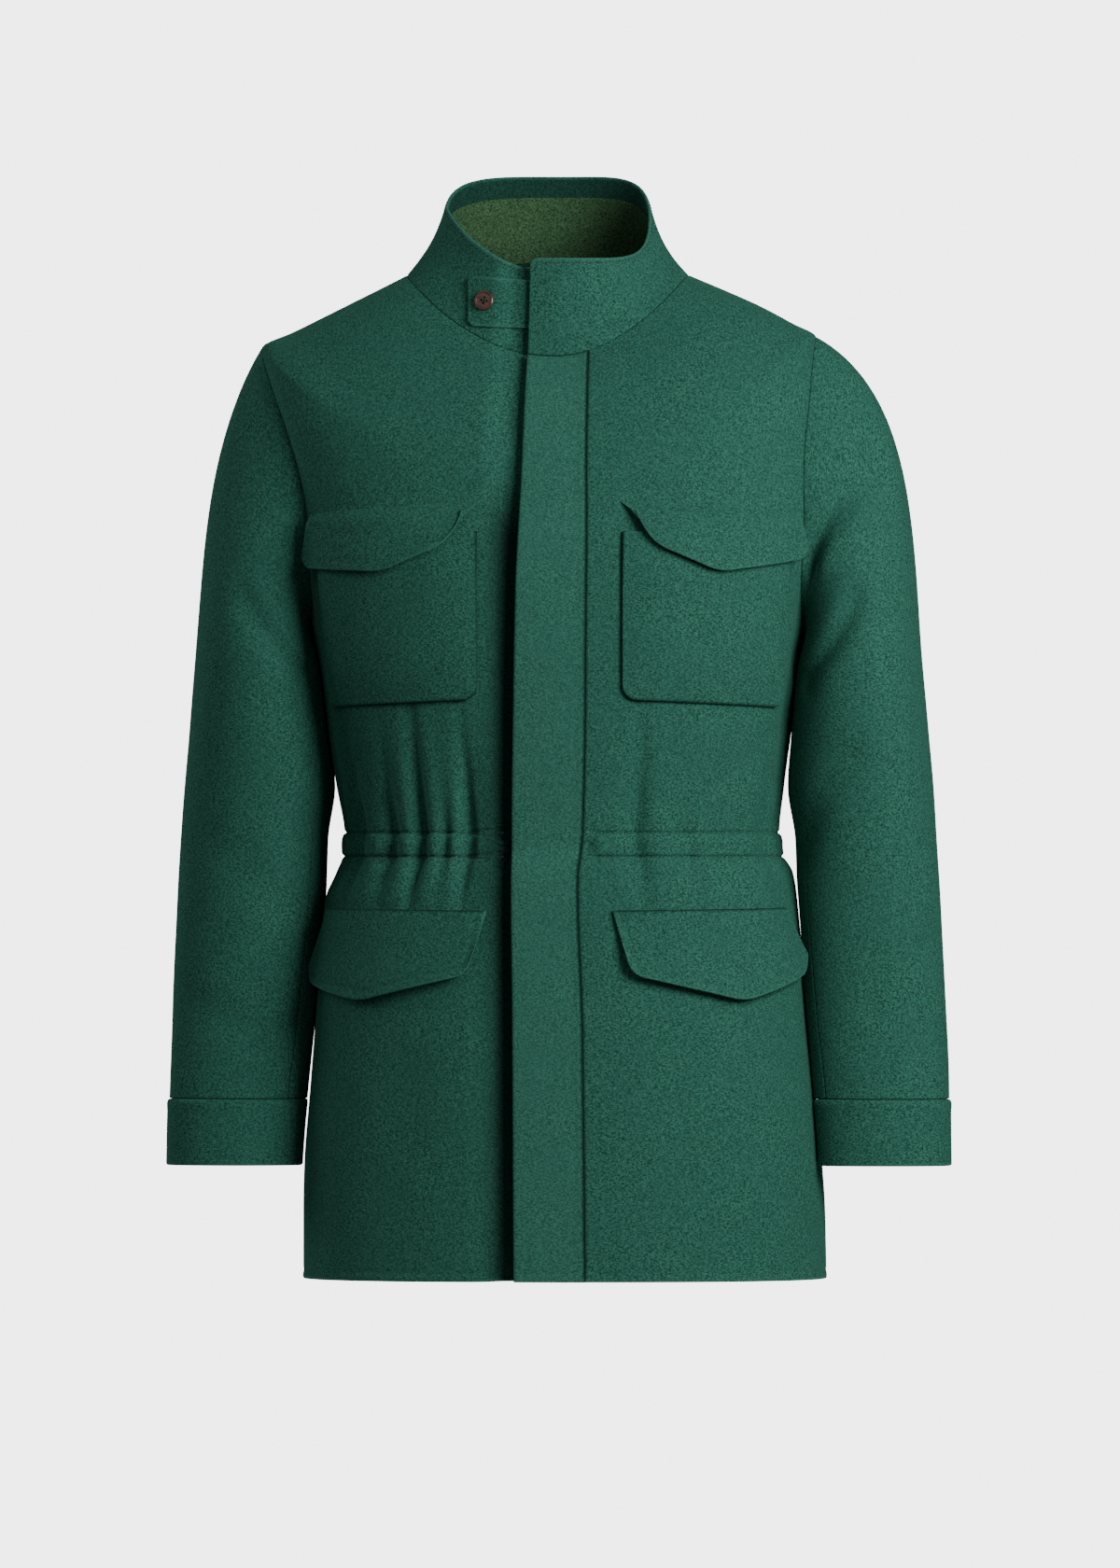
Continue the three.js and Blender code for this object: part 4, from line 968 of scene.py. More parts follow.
def horn_material(name, dark, light):
    """Polished horn: broad clouds and fine fibres drawn out along one way."""
    finish = Finish(bpy.data.materials.new(name))
    clouds = finish.noise(finish.place(False, 0.5, (1, 1, 2.5)), 190, 3, 0.6)
    fibres = finish.noise(finish.place(False, 0.5, (1, 1, 7)), 900, 2, 0.6)
    shade = clouds * 0.7 + fibres * 0.3
    tone = finish.blend(shade.within(0.36, 0.64), dark, light)
    bump = finish.add("ShaderNodeBump", {}, {"Strength": 0.15, "Distance": 0.0002, "Height": fibres})
    return finish.end({
        "Base Color": tone,
        "Roughness": 0.3 + 0.15 * fibres,
        "Coat Weight": 0.35,
        "Coat Roughness": 0.12,
        "Normal": bump,
    })


def thread_material(name, color):
    """Twisted thread: fine slanting plies."""
    finish = Finish(bpy.data.materials.new(name))
    plies = finish.noise(finish.place(False, 0.6, (1, 1, 3)), 2600, 1, 0.5)
    tone = finish.blend(plies.within(0.35, 0.65), scaled(color, 0.45), color)
    bump = finish.add("ShaderNodeBump", {}, {"Strength": 0.3, "Distance": 0.0002, "Height": plies})
    return finish.end({"Base Color": tone, "Roughness": 0.8, "Sheen Weight": 0.2, "Normal": bump})


# Sizes and colours that a user may change


def colored(name, description, default):
    return bpy.props.FloatVectorProperty(
        name=name, description=description, default=default, size=3, min=0, max=1, subtype="COLOR",
    )


def amount(name, description, default, low, high, **kind):
    return bpy.props.FloatProperty(
        name=name, description=description, default=default, min=low, max=high, **kind
    )


class JacketCloth(bpy.types.PropertyGroup):
    pitch: amount(
        "Mesh pitch", "Distance between the mesh's points across the cloth", 0.0028, 0.002, 0.01,
        unit="LENGTH",
    )
    wool_dark: colored("Wool, dark", "Colour at the root of the nap", (0.007, 0.050, 0.034))
    wool_middle: colored("Wool, middle", "Colour of the clouds in the wool", (0.024, 0.118, 0.086))
    wool_light: colored("Wool, light", "Colour at the tips of the nap", (0.052, 0.215, 0.152))
    lining_dark: colored("Lining, dark", "Darker fibres of the lining", (0.012, 0.040, 0.018))
    lining_middle: colored(
        "Lining, middle", "Colour of the clouds in the lining", (0.034, 0.100, 0.042)
    )
    lining_light: colored("Lining, light", "Paler fibres of the lining", (0.110, 0.230, 0.105))
    nap: amount("Nap", "How strongly the nap roughens the wool", 0.8, 0, 1, subtype="FACTOR")
    lining_nap: amount(
        "Lining nap", "How strongly the nap roughens the lining", 0.5, 0, 1, subtype="FACTOR"
    )


class JacketTrim(bpy.types.PropertyGroup):
    horn_dark: colored("Horn, dark", "Darker clouds in the button", (0.022, 0.008, 0.006))
    horn_light: colored("Horn, light", "Lighter clouds in the button", (0.160, 0.055, 0.035))
    thread: colored("Thread", "Colour of the sewing thread", (0.008, 0.034, 0.026))
    stitch: amount("Stitch", "Length of one stitch", 0.0026, 0.001, 0.006, unit="LENGTH")
    stitch_gap: amount("Gap", "Distance between two stitches", 0.0009, 0.0003, 0.004, unit="LENGTH")
    thread_width: amount(
        "Thread width", "Width of the sewing thread", 0.0007, 0.0002, 0.002, unit="LENGTH"
    )


class JacketStudio(bpy.types.PropertyGroup):
    key: amount("Key light", "Power of the large light on the wearer's left", 41, 0, 4000, unit="POWER")
    fill: amount("Fill light", "Power of the soft light in front", 6, 0, 2000, unit="POWER")
    rim: amount("Rim light", "Power of the light beside the wearer's right", 11, 0, 2000, unit="POWER")
    around: amount("Surroundings", "Brightness of the light from all sides", 0.065, 0, 2)
    backdrop: amount("Backdrop", "Brightness of the backdrop as the camera sees it", 4.4, 0, 10)


def rgba(color):
    return tuple(color) + (1.0,)


def wool():
    cloth = bpy.context.scene.jacket_cloth
    colors = [rgba(color) for color in (cloth.wool_dark, cloth.wool_middle, cloth.wool_light)]
    return bpy.data.materials.get("green_wool") or cloth_material("green_wool", *colors, cloth.nap)


def lining():
    cloth = bpy.context.scene.jacket_cloth
    colors = [rgba(color) for color in (cloth.lining_dark, cloth.lining_middle, cloth.lining_light)]
    made = bpy.data.materials.get("olive_lining")
    return made or cloth_material("olive_lining", *colors, cloth.lining_nap)


def sewing_thread():
    made = bpy.data.materials.get("green_thread")
    return made or thread_material("green_thread", rgba(bpy.context.scene.jacket_trim.thread))


# Panels of the body

# Rows of points up to the armpit, closer along the hem, the gathers and the waist channel
LOW_ROWS = even(HEM, ARMPIT, 5.0, True, False)
for start, end, pitch in ((HEM + 3.1, HEM + 12, 1.2), (-500, -415, 2.4), (-469.3, -437.7, 0.9)):
    LOW_ROWS = finer(LOW_ROWS, start, end, pitch)
ARMHOLE_TURNS = np.linspace(180, 0, 49)
SHOULDER_ROWS = even(SHOULDER, NECK - HALF_SEAM, 2.6, False, True)[1:]
ARMHOLE_LEVELS = mix(ARMPIT, SHOULDER, (1 + np.cos(np.radians(ARMHOLE_TURNS))) / 2)
PANEL_LEVELS = np.concatenate([LOW_ROWS[:-1], ARMHOLE_LEVELS, SHOULDER_ROWS])
PANEL_TURNS = np.concatenate([
    np.full(len(LOW_ROWS) - 1, 180.0), ARMHOLE_TURNS, np.full(len(SHOULDER_ROWS), 0.0),
])
IN_ARMHOLE = (PANEL_LEVELS >= ARMPIT) & (PANEL_LEVELS <= SHOULDER)


def edge_girths(side, is_back):
    """Girth of a panel's outer edge in each row: the side seam, the armhole, the shoulder seam."""
    turn = -PANEL_TURNS if is_back else PANEL_TURNS
    on_hole = armhole_place(side, turn)[1]
    return np.where(IN_ARMHOLE, on_hole, girth_to(PANEL_LEVELS, side * np.pi / 2))


def panel_way(level, girth, to_edge, side, is_back):
    """The way in through a panel: its own facing, turned to the mitre beside armhole and neck."""
    way = body_facing(level, girth)
    turn = np.broadcast_to((-PANEL_TURNS if is_back else PANEL_TURNS)[:, None], level.shape)
    past = np.maximum(np.maximum(ARMPIT - level, level - SHOULDER), 0)
    at_hole = (1 - smooth(0, 5, np.abs(to_edge))) * (1 - smooth(0, 4, past))
    way = mix(way, armhole_mitre(side, turn[:, :1]), at_hole[..., None])
    at_neck = smooth(NECK - 4, NECK - HALF_SEAM, level)
    return mix(way, neck_mitre(girth), at_neck[..., None])


def panel_grid(columns, first, last):
    """Girths from first to last in each row, at shares of the way with fine steps at both ends."""
    share = columns[None, :]
    return mix(first[:, None], last[:, None], share)


def shares_of(length, pitch):
    return even(0, length, pitch) / length


def cloth_pitch():
    return bpy.context.scene.jacket_cloth.pitch / MM


# Distance between points: factors of the cloth's for the back and the placket, and millimetres
# for the collar, for the pockets, and for the flaps down and across
BACK_PITCH, PLACKET_PITCH = 1.08, 0.8
COLLAR_PITCH, POCKET_PITCH, FLAP_PITCH, FLAP_ACROSS = 2.6, 2.8, 2.2, 2.4


def make_front(side):
    level = PANEL_LEVELS
    last = edge_girths(side, False) + side * SEWN
    if side == LEFT:
        first = placket_curves("left", level) - SEWN
    else:
        first = np.full(len(level), UNDERLAP_START)
    girth = panel_grid(shares_of(np.abs(last - first).max(), cloth_pitch()), first, last)
    level = np.broadcast_to(level[:, None], girth.shape)
    outer = body_point(level, girth)
    painted_light = 0.0
    if side == RIGHT:
        sunk = UNDERLAP_SINK * smooth(SINK_FROM, SINK_TO, girth)
        start = MORE_FROM - MORE_WAIST * bell(level - WAIST, MORE_WIDE)
        more = smooth(MORE_BELOW, MORE_ALL, level) * smooth(start, MORE_TO, girth)
        sunk = sunk + SINK_MORE * more
        # Painted shade on the underlap where it falls away under the placket
        painted_light = -UNDERLAP_PAINTED_SHADE * more
        around = np.mod(angle_at(np.full(girth.shape, NECK), girth), 2 * np.pi)
        under_collar = collar_facing_of(collar_bare, 0 * around, around)
        inward = mix(body_facing(level, girth), under_collar, smooth(NECK - 40, NECK, level)[..., None])
        outer = outer - inward * sunk[..., None]
    way = panel_way(level, girth, girth - last[:, None], side, False)
    near = SEAM if side == LEFT else FREE
    rolls = (FREE, SEAM, near, SEAM)
    # Painted highlight along the hem and the right front's free edge; painted shade in the left front's
    # seam to the placket and along the side seam, armhole and shoulder seam
    shades = (1, 0, -1 if side == LEFT else 1, -0.4)
    name = "front_%s_cloth" % SIDES[side]
    return shell(name, outer, way, WALL, rolls, shades=shades, painted_lights=(painted_light, 0.0))


def make_back():
    middle = {side: girth_to(PANEL_LEVELS, side * np.pi) for side in SIDES}
    last = {side: edge_girths(side, True) - side * SEWN for side in SIDES}
    halves = []
    for side in (RIGHT, LEFT):
        length = np.abs(last[side] - middle[side]).max()
        columns = shares_of(length, cloth_pitch() * BACK_PITCH)
        columns = np.concatenate([[0], columns[len(BORDER):]])
        girth = panel_grid(columns, middle[side], last[side])
        level = np.broadcast_to(PANEL_LEVELS[:, None], girth.shape)
        way = panel_way(level, girth, girth - last[side][:, None], side, True)
        outer = body_point(level, girth)
        halves.append((outer, way) if side == LEFT else (outer[:, :0:-1], way[:, :0:-1]))
    outer, way = (np.concatenate(parts, axis=1) for parts in zip(*halves))
    return shell("back_cloth", outer, way, WALL, (FREE, SEAM, SEAM, SEAM))


def make_placket():
    first = placket_curves("right", PANEL_LEVELS)
    last = placket_curves("left", PANEL_LEVELS) + SEWN
    girth = panel_grid(shares_of((last - first).max(), cloth_pitch() * PLACKET_PITCH), first, last)
    level = np.broadcast_to(PANEL_LEVELS[:, None], girth.shape)
    level = np.minimum(level, PLACKET_TOP)
    way = body_facing(level, girth)
    way = mix(way, neck_mitre(girth), smooth(NECK - 4, PLACKET_TOP, level)[..., None])
    ridge = sewn_line(last[:, None] - girth, *PLACKET_RIDGE)
    outer = body_point(level, girth) + way * (PLACKET_PROUD + ridge)[..., None]
    rolls = (FREE, SEAM, 1.7, SEAM)
    # Painted highlight along the hem and over the whole outer skin, painted shade along the seam to the
    # left front
    shades, painted_lights = (1, 0, 0, -2), (PLACKET_PAINTED_HIGHLIGHT, 0.0)
    return shell("placket_cloth", outer, way, DOUBLE_WALL, rolls, shades=shades, painted_lights=painted_lights)


# Sleeves and cuffs

SLEEVE_ROWS = even(HALF_SEAM, SLEEVE_LENGTH - HALF_SEAM, 4.6)


def make_sleeve(side, name, first, last):
    turns = even(first * PER_DEGREE, last * PER_DEGREE, cloth_pitch()) / PER_DEGREE
    along, around = grid_of(SLEEVE_ROWS, turns)
    outer = sleeve_point(side, around, along)
    way = sleeve_facing(side, around, along)
    at_hole = 1 - smooth(0, 5, along)
    way = mix(way, armhole_mitre(side, around[:1]), at_hole[..., None])
    return shell("sleeve_%s_%s_cloth" % (SIDES[side], name), outer, way, WALL, (SEAM,) * 4)


def make_cuff(side):
    """The sleeve's own surface, a little proud, with a soft ridge just below its seam."""
    rows = even(SLEEVE_LENGTH + HALF_SEAM, CUFF_LENGTH, 3.4)
    turns = np.linspace(0, 360, 121)[:-1]
    along, around = grid_of(rows, turns)
    normal = sleeve_facing(side, around, along)
    below = along - SLEEVE_LENGTH
    proud = mix(CUFF_TOP, CUFF_PROUD, smooth(0, 3, below)) + sewn_line(below, *CUFF_RIDGE)
    proud = proud + CUFF_WAVES * wander(around * PER_DEGREE, along, 8 + side) * smooth(0, 12, below)
    outer = rest_on_body(side, sleeve_point(side, around, along) + normal * proud[..., None])
    return shell("cuff_%s_cloth" % SIDES[side], outer, normal, DOUBLE_WALL, (1.2, 1.7), closed=True)


# Collar, lining, tab and button


def corner_cut(distance, radius):
    """How much a round corner takes off at a distance from its side."""
    inside = np.clip(radius - distance, 0, radius)
    return radius - np.sqrt(radius**2 - inside**2)


def collar_rise(share, angle):
    """A share of the way from the neck seam to the top edge, less the round corner there."""
    cut = corner_cut((angle - OVER_END) * COLLAR_FRONT, COLLAR_CORNER) / COLLAR_HEIGHT
    return mix(-2 * SEWN / COLLAR_HEIGHT, 1 - cut, share)


def make_collar():
    angles = even(OVER_END * COLLAR_FRONT, UNDER_END * COLLAR_FRONT, COLLAR_PITCH) / COLLAR_FRONT
    share, angle = grid_of(shares_of(COLLAR_HEIGHT, COLLAR_PITCH), angles)
    rise = collar_rise(share, angle)
    outer = collar_point(rise, angle)
    way = collar_facing(np.minimum(rise, 0.97), angle)
    girth = girth_to(NECK, wrap(angle[:1]))
    way = mix(way, neck_mitre(girth), 1 - smooth(0, 0.07, share)[..., None])
    # Painted highlight along the top edge and both ends, painted shade over the whole inner skin
    return shell("collar_cloth", outer, way, 3.0, (SEAM, 1.5, 1.5, 1.5), painted_lights=(0.0, -FACING_PAINTED_SHADE))


def make_lining():
    """The collar's own surface, moved in by its thickness and a little more."""
    rows = even(LINING_LOW * COLLAR_HEIGHT, FACING_EDGE * COLLAR_HEIGHT, COLLAR_PITCH) / COLLAR_HEIGHT
    last = 2 * np.pi + angle_at(NECK, SINK_FROM - LINING_SHORT)
    angles = even((OVER_END + LINING_START) * COLLAR_FRONT, last * COLLAR_FRONT, 3.0) / COLLAR_FRONT
    rise, angle = grid_of(rows, angles)
    normal = collar_facing(rise, angle)
    outer = collar_point(rise, angle) - normal * LINING_IN
    # Painted shade over the lining's inner skin, deepest on the wearer's left
    painted_light = LINING_PAINTED_SHADE + LINING_PAINTED_DARKER * bell(angle - np.pi / 2, LINING_DARK_WIDE)
    return shell("collar_lining_cloth", outer, normal, LINING_WALL, (0.6,) * 4, painted_lights=(0.0, painted_light))


def tab_surface(x, share):
    """The tab by its x and a share of the way down, on the under end of the collar."""
    across = (x - TAB["from"]) / (TAB["to"] - TAB["from"])
    cut = corner_cut(x - TAB["from"], TAB["corner"])
    top = mix(TAB["top_from"], TAB["top_to"], across) - cut
    low = mix(TAB["low_from"], TAB["low_to"], across) + cut
    rise, angle = collar_place(x, mix(top, low, share))
    return collar_point(rise, angle), collar_facing(rise, angle)


def make_tab():
    deep = TAB["top_from"] - TAB["low_from"]
    rows = finer(even(0, deep, 1.6), 19.2, 22.8, 0.3) / deep
    across = even(TAB["from"], TAB["to"], 1.5)
    share, x = grid_of(rows, across)
    inner, normal = tab_surface(x, share)
    edge = np.minimum(np.minimum(share, 1 - share) * deep, x - TAB["from"])
    height = TAB["gap"] + TAB["wall"] + sewn_line(edge, *TAB_GROOVE)
    z = mix(TAB["top_from"], TAB["low_from"], share)
    slit = (x > BUTTONHOLE["from"] - 4) & (x < BUTTONHOLE["to"])
    height = height - 0.9 * slit * bell(z - BUTTONHOLE["z"], 0.55)
    outer = inner + normal * height[..., None]
    return shell("collar_tab_cloth", outer, normal, TAB["wall"], (FREE,) * 4)


# Pockets and flaps


def crown_over_pocket(girth, z):
    pocket = CHEST_POCKET

    def rise(share):
        return np.maximum(1 - (2 * share - 1) ** 4, 0)

    across = (girth - pocket["inner"]) / (pocket["outer"] - pocket["inner"])
    down = (z - pocket["top"]) / (pocket["low_inner"] - pocket["top"])
    return pocket["crown"] * rise(np.clip(across, 0, 1)) * rise(np.clip(down, 0, 1))


def lay_on_front(name, side, girth, z, out, thick, rolls, shades=None):
    """A shell whose outer side lies at these girths and heights, that far out from the body."""
    level = level_at(z, side * girth)
    normal = facing(plain_body, level, side * girth)
    surface = plain_body(level, side * girth)
    return shell(name, surface + normal * out[..., None], normal, thick, rolls, shades=shades)


def make_chest_pocket(side):
    pocket = CHEST_POCKET
    wide, deep = pocket["outer"] - pocket["inner"], pocket["top"] - pocket["low_inner"]
    down, across = grid_of(shares_of(deep, POCKET_PITCH), shares_of(wide, POCKET_PITCH))
    girth = mix(pocket["inner"], pocket["outer"], across)
    cut = corner_cut(girth - pocket["inner"], pocket["corner"])
    cut = cut + corner_cut(pocket["outer"] - girth, pocket["corner"])
    z = mix(pocket["top"], mix(pocket["low_inner"], pocket["low_outer"], across) + cut, down)
    edge = np.minimum(np.minimum(girth - pocket["inner"], pocket["outer"] - girth), (1 - down) * deep)
    out = LAID_ON + WALL + crown_over_pocket(girth, z) + sewn_line(edge, *POCKET_GROOVE)
    out = out + POCKET_WAVES * wander(girth * 1.3, z, 11 + side) * smooth(3, 25, edge)
    name = "chest_pocket_%s_cloth" % SIDES[side]
    # Painted shade along the pocket's bottom and both sides, as in the crevice round it
    return lay_on_front(name, side, girth, z, out, WALL, (FREE,) * 4, (0, -1, -1, -1))


def flap_lower_edge(flap, side, across):
    """Two straight lines that meet at the point, evened over a short way to both sides of it."""

    def straight(share):
        inner = mix(flap["z_inner_low"], flap["z_point"], share / flap["point"])
        past = (share - flap["point"]) / (1 - flap["point"])
        return np.where(share < flap["point"], inner, mix(flap["z_point"], flap["z_outer_low"][side], past))

    return sum(straight(across + shift) for shift in POINT_EVENED) / len(POINT_EVENED)


def make_flap(name, side, flap, over_pocket):
    """Corners from the table, the lower edge with a soft point, the corners round. It stands off
    by the square of the way down, with a sewn groove seven millimetres inside its edge."""
    wide = flap["outer_low"] - flap["inner_low"]
    deep = flap["z_inner_top"] - flap["z_point"]
    down, across = grid_of(shares_of(deep, FLAP_PITCH), shares_of(wide, FLAP_ACROSS))
    cut = corner_cut(across * wide, flap["inner_corner"])
    cut = cut + corner_cut((1 - across) * wide, flap["outer_corner"])
    inner = mix(flap["inner_top"], flap["inner_low"], down)
    outer = mix(flap["outer_top"], flap["outer_low"], down)
    girth = mix(inner, outer, across)
    low = flap_lower_edge(flap, side, across) + cut
    z = mix(mix(flap["z_inner_top"], flap["z_outer_top"], across), low, down)
    under = LAID_ON + flap["lift"] * down**2
    if over_pocket:
        under = under + crown_over_pocket(girth, z)
        under = under + (WALL + FLAP_GAP) * smooth(flap["z_inner_top"], CHEST_POCKET["top"] + 3, z)
    edge = np.minimum(np.minimum(across, 1 - across) * wide, (z - low) * 0.97)
    groove = sewn_line(edge, *FLAP_GROOVE)
    swell = FLAP_WAVES * wander(girth * 1.2, z * 1.3, 15 + side) * smooth(0, 16, edge)
    from_top = mix(flap["z_inner_top"], flap["z_outer_top"], across) - z
    thick = FLAP_WALL - (2.1 if over_pocket else 0.4) * (1 - smooth(0, 7, from_top))
    out = under + thick + groove + swell
    rolls = (0.5 if over_pocket else 1.0, 1.6, 1.6, 1.6)
    # Painted shade along the hip flap's top, where it comes out of its welt; painted highlight along the
    # other edges
    shades = (0 if over_pocket else -1, 1, 1, 1)
    name = "%s_%s_cloth" % (name, SIDES[side])
    return lay_on_front(name, side, girth, z, out, thick, rolls, shades)


# Stitches: dark thread along a path of places on a surface


def along_path(place_at, start, end, pitch, length):
    """Starts and ends of stitches an even pitch apart, for numbers from start to end."""
    count = int(abs(end - start) / pitch)
    first = start + np.sign(end - start) * pitch * (np.arange(count) + 0.5)
    last = first + np.sign(end - start) * length
    return place_at(first), place_at(last)


def sew(name, runs):
    """One piece of many stitches, from the runs of starts, ends and outward ways."""
    trim = bpy.context.scene.jacket_trim
    radius = trim.thread_width / MM / 2
    starts, ends, outward = (np.concatenate(parts) for parts in zip(*runs))
    piece = capsules(name, starts, ends, outward, radius, radius * 0.6)
    return finish_piece(piece, [], sewing_thread())


def stitch_sizes():
    trim = bpy.context.scene.jacket_trim
    return (trim.stitch + trim.stitch_gap) / MM, trim.stitch / MM


# The channel's stitches start at this girth. The collar's run this far below its top edge, between
# angles this far inside its two ends, and turn by this angle in a millimetre
CHANNEL_STITCHED = 36
COLLAR_STITCHED, COLLAR_AFTER, COLLAR_BEFORE, COLLAR_TURN = 3.8, 0.1, 0.4, 1 / 80


def channel_runs():
    pitch, length = stitch_sizes()
    runs = []
    for line in (CHANNEL_LOW, CHANNEL_HIGH):
        for side in SIDES:
            far = abs(float(girth_to(line, side * np.pi))) - 2

            def place_at(far_, side=side, line=line):
                return body_point(np.full(far_.shape, line), side * far_)

            starts, ends = along_path(place_at, CHANNEL_STITCHED, far, pitch, length)
            middle = CHANNEL_STITCHED + pitch * (np.arange(len(starts)) + 0.5)
            runs.append((starts, ends, body_facing(np.full(middle.shape, line), side * middle)))
    return runs


def collar_runs():
    pitch, length = (size * COLLAR_TURN for size in stitch_sizes())
    rise, start = 1 - COLLAR_STITCHED / COLLAR_HEIGHT, OVER_END + COLLAR_AFTER

    def place_at(angle):
        return collar_point(rise + 0 * angle, angle)

    starts, ends = along_path(place_at, start, UNDER_END - COLLAR_BEFORE, pitch, length)
    angle = start + pitch * (np.arange(len(starts)) + 0.5)
    return [(starts, ends, collar_facing(rise + 0 * angle, angle))]


def button_runs():
    """Two crossed bars of thread over the button, and the slit of the buttonhole."""
    rise, angle = collar_place(BUTTON["x"], BUTTON["z"])
    normal = collar_facing(rise, angle).reshape(3)
    foot = collar_point(rise, angle).reshape(3)
    across = unit(np.cross(normal, (0, 0, 1.0)))
    up = np.cross(across, normal)
    deep = TAB["gap"] + TAB["wall"] + BUTTON["gap"] + BUTTON["thick"] - BUTTON["dish"]
    middle = foot + normal * (deep + 0.1)
    runs = []
    for slant in (1, -1):
        way = (across + slant * up) * BUTTON["spread"]
        for shift in (-0.35, 0.35):
            aside = unit(across - slant * up) * shift
            runs.append(((middle - way + aside)[None], (middle + way + aside)[None], normal[None]))
    x = np.arange(BUTTONHOLE["from"] + 2, BUTTONHOLE["to"], 1.0)
    rise, angle = collar_place(np.stack([x, x + 0.9]), np.full((2, len(x)), BUTTONHOLE["z"]))
    lift = collar_facing(rise, angle)
    place = collar_point(rise, angle) + lift * (TAB["gap"] + TAB["wall"] - 0.75)
    runs.append((place[0], place[1], lift[0]))
    return runs


# Operators, one for each piece or group of like pieces


class Making:
    """What the operators share: they can be undone."""

    bl_options = {"REGISTER", "UNDO"}


# Cut sizes of the cloth that shows: width, length and area
CUTS = {
    "front_left": (0.25, 0.85, 0.188),
    "front_right": (0.295, 0.85, 0.221),
    "back": (0.56, 0.9, 0.44),
    "placket": (0.06, 0.76, 0.0435),
    "sleeve_top": (0.34, 0.53, 0.163),
    "sleeve_under": (0.08, 0.39, 0.028),
    "cuff": (0.325, 0.054, 0.0175),
    "collar": (0.62, 0.09, 0.0436),
    "collar_lining": (0.5, 0.06, 0.0259),
    "collar_tab": (0.058, 0.042, 0.0024),
    "chest_pocket": (0.158, 0.14, 0.0217),
    "chest_flap": (0.176, 0.056, 0.0073),
    "hip_flap": (0.188, 0.075, 0.012),
}


def dress(piece, node, rests_on, cut=None):
    wide, long, area = CUTS[cut or node]
    return finish_piece(piece, [node], wool(), (wide, long), rests_on)


class JACKET_OT_fronts(Making, bpy.types.Operator):
    """Make the two fronts, drawn in at the waist, the right one sunk under the placket"""

    bl_idname = "jacket.fronts"
    bl_label = "Fronts"

    def execute(self, context):
        for side, word in SIDES.items():
            dress(make_front(side), "front_%s" % word, ["back"])
        return {"FINISHED"}


class JACKET_OT_back(Making, bpy.types.Operator):
    """Make the back in one piece"""

    bl_idname = "jacket.back"
    bl_label = "Back"

    def execute(self, context):
        dress(make_back(), "back", ["front_left", "front_right"])
        return {"FINISHED"}


class JACKET_OT_placket(Making, bpy.types.Operator):
    """Make the placket that covers the front closing"""

    bl_idname = "jacket.placket"
    bl_label = "Placket"

    def execute(self, context):
        dress(make_placket(), "placket", ["front_left", "front_right"])
        return {"FINISHED"}


class JACKET_OT_sleeves(Making, bpy.types.Operator):
    """Make both sleeves, each of a top and an under piece"""

    bl_idname = "jacket.sleeves"
    bl_label = "Sleeves"

    def execute(self, context):
        spans = {
            "top": (-SLEEVE_SEAM + SEAM_TURN, SLEEVE_SEAM - SEAM_TURN),
            "under": (SLEEVE_SEAM + SEAM_TURN, 360 - SLEEVE_SEAM - SEAM_TURN),
        }
        for side, word in SIDES.items():
            for name, (first, last) in spans.items():
                node, rests_on = "sleeve_%s_%s" % (word, name), ["front_%s" % word, "back"]
                dress(make_sleeve(side, name, first, last), node, rests_on, "sleeve_%s" % name)
        return {"FINISHED"}


class JACKET_OT_cuffs(Making, bpy.types.Operator):
    """Make the bands at the sleeve ends"""

    bl_idname = "jacket.cuffs"
    bl_label = "Cuffs"

    def execute(self, context):
        for side, word in SIDES.items():
            rests_on = ["sleeve_%s_top" % word, "sleeve_%s_under" % word]
            dress(make_cuff(side), "cuff_%s" % word, rests_on, "cuff")
        return {"FINISHED"}


class JACKET_OT_collar(Making, bpy.types.Operator):
    """Make the stand collar with its overlap, and its lining"""

    bl_idname = "jacket.collar"
    bl_label = "Collar"

    def execute(self, context):
        dress(make_collar(), "collar", ["front_left", "front_right", "back"])
        wide, long, area = CUTS["collar_lining"]
        piece = make_lining()
        finish_piece(piece, ["collar_lining"], lining(), (wide, long), ["collar"])
        return {"FINISHED"}


class JACKET_OT_tab(Making, bpy.types.Operator):
    """Make the collar tab, give its button polished horn, and sew it on"""

    bl_idname = "jacket.tab"
    bl_label = "Collar tab"

    def execute(self, context):
        dress(make_tab(), "collar_tab", ["collar"])
        trim = context.scene.jacket_trim
        horn = horn_material("brown_horn", rgba(trim.horn_dark), rgba(trim.horn_light))
        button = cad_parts["collar_button"]
        if not button.material_slots:
            raise RuntimeError("the button has no material slot")
        for slot in button.material_slots:
            slot.material = horn
        sew("button_thread", button_runs())
        return {"FINISHED"}


class JACKET_OT_pockets(Making, bpy.types.Operator):
    """Make the patch pockets of the chest"""

    bl_idname = "jacket.pockets"
    bl_label = "Chest pockets"

    def execute(self, context):
        for side, word in SIDES.items():
            node = "chest_pocket_%s" % word
            dress(make_chest_pocket(side), node, ["front_%s" % word], "chest_pocket")
        return {"FINISHED"}


class JACKET_OT_flaps(Making, bpy.types.Operator):
    """Make the flaps of the chest and the hips"""

    bl_idname = "jacket.flaps"
    bl_label = "Flaps"

    def execute(self, context):
        for side, word in SIDES.items():
            for name, flap in (("chest_flap", CHEST_FLAP), ("hip_flap", HIP_FLAP)):
                piece = make_flap(name, side, flap, name == "chest_flap")
                rests_on = ["front_%s" % word]
                if name == "chest_flap":
                    rests_on.append("chest_pocket_%s" % word)
                dress(piece, "%s_%s" % (name, word), rests_on, name)
        return {"FINISHED"}


class JACKET_OT_stitches(Making, bpy.types.Operator):
    """Sew the waist channel and the collar's top edge"""

    bl_idname = "jacket.stitches"
    bl_label = "Stitches"

    def execute(self, context):
        sew("channel_stitches", channel_runs())
        sew("collar_stitches", collar_runs())
        return {"FINISHED"}


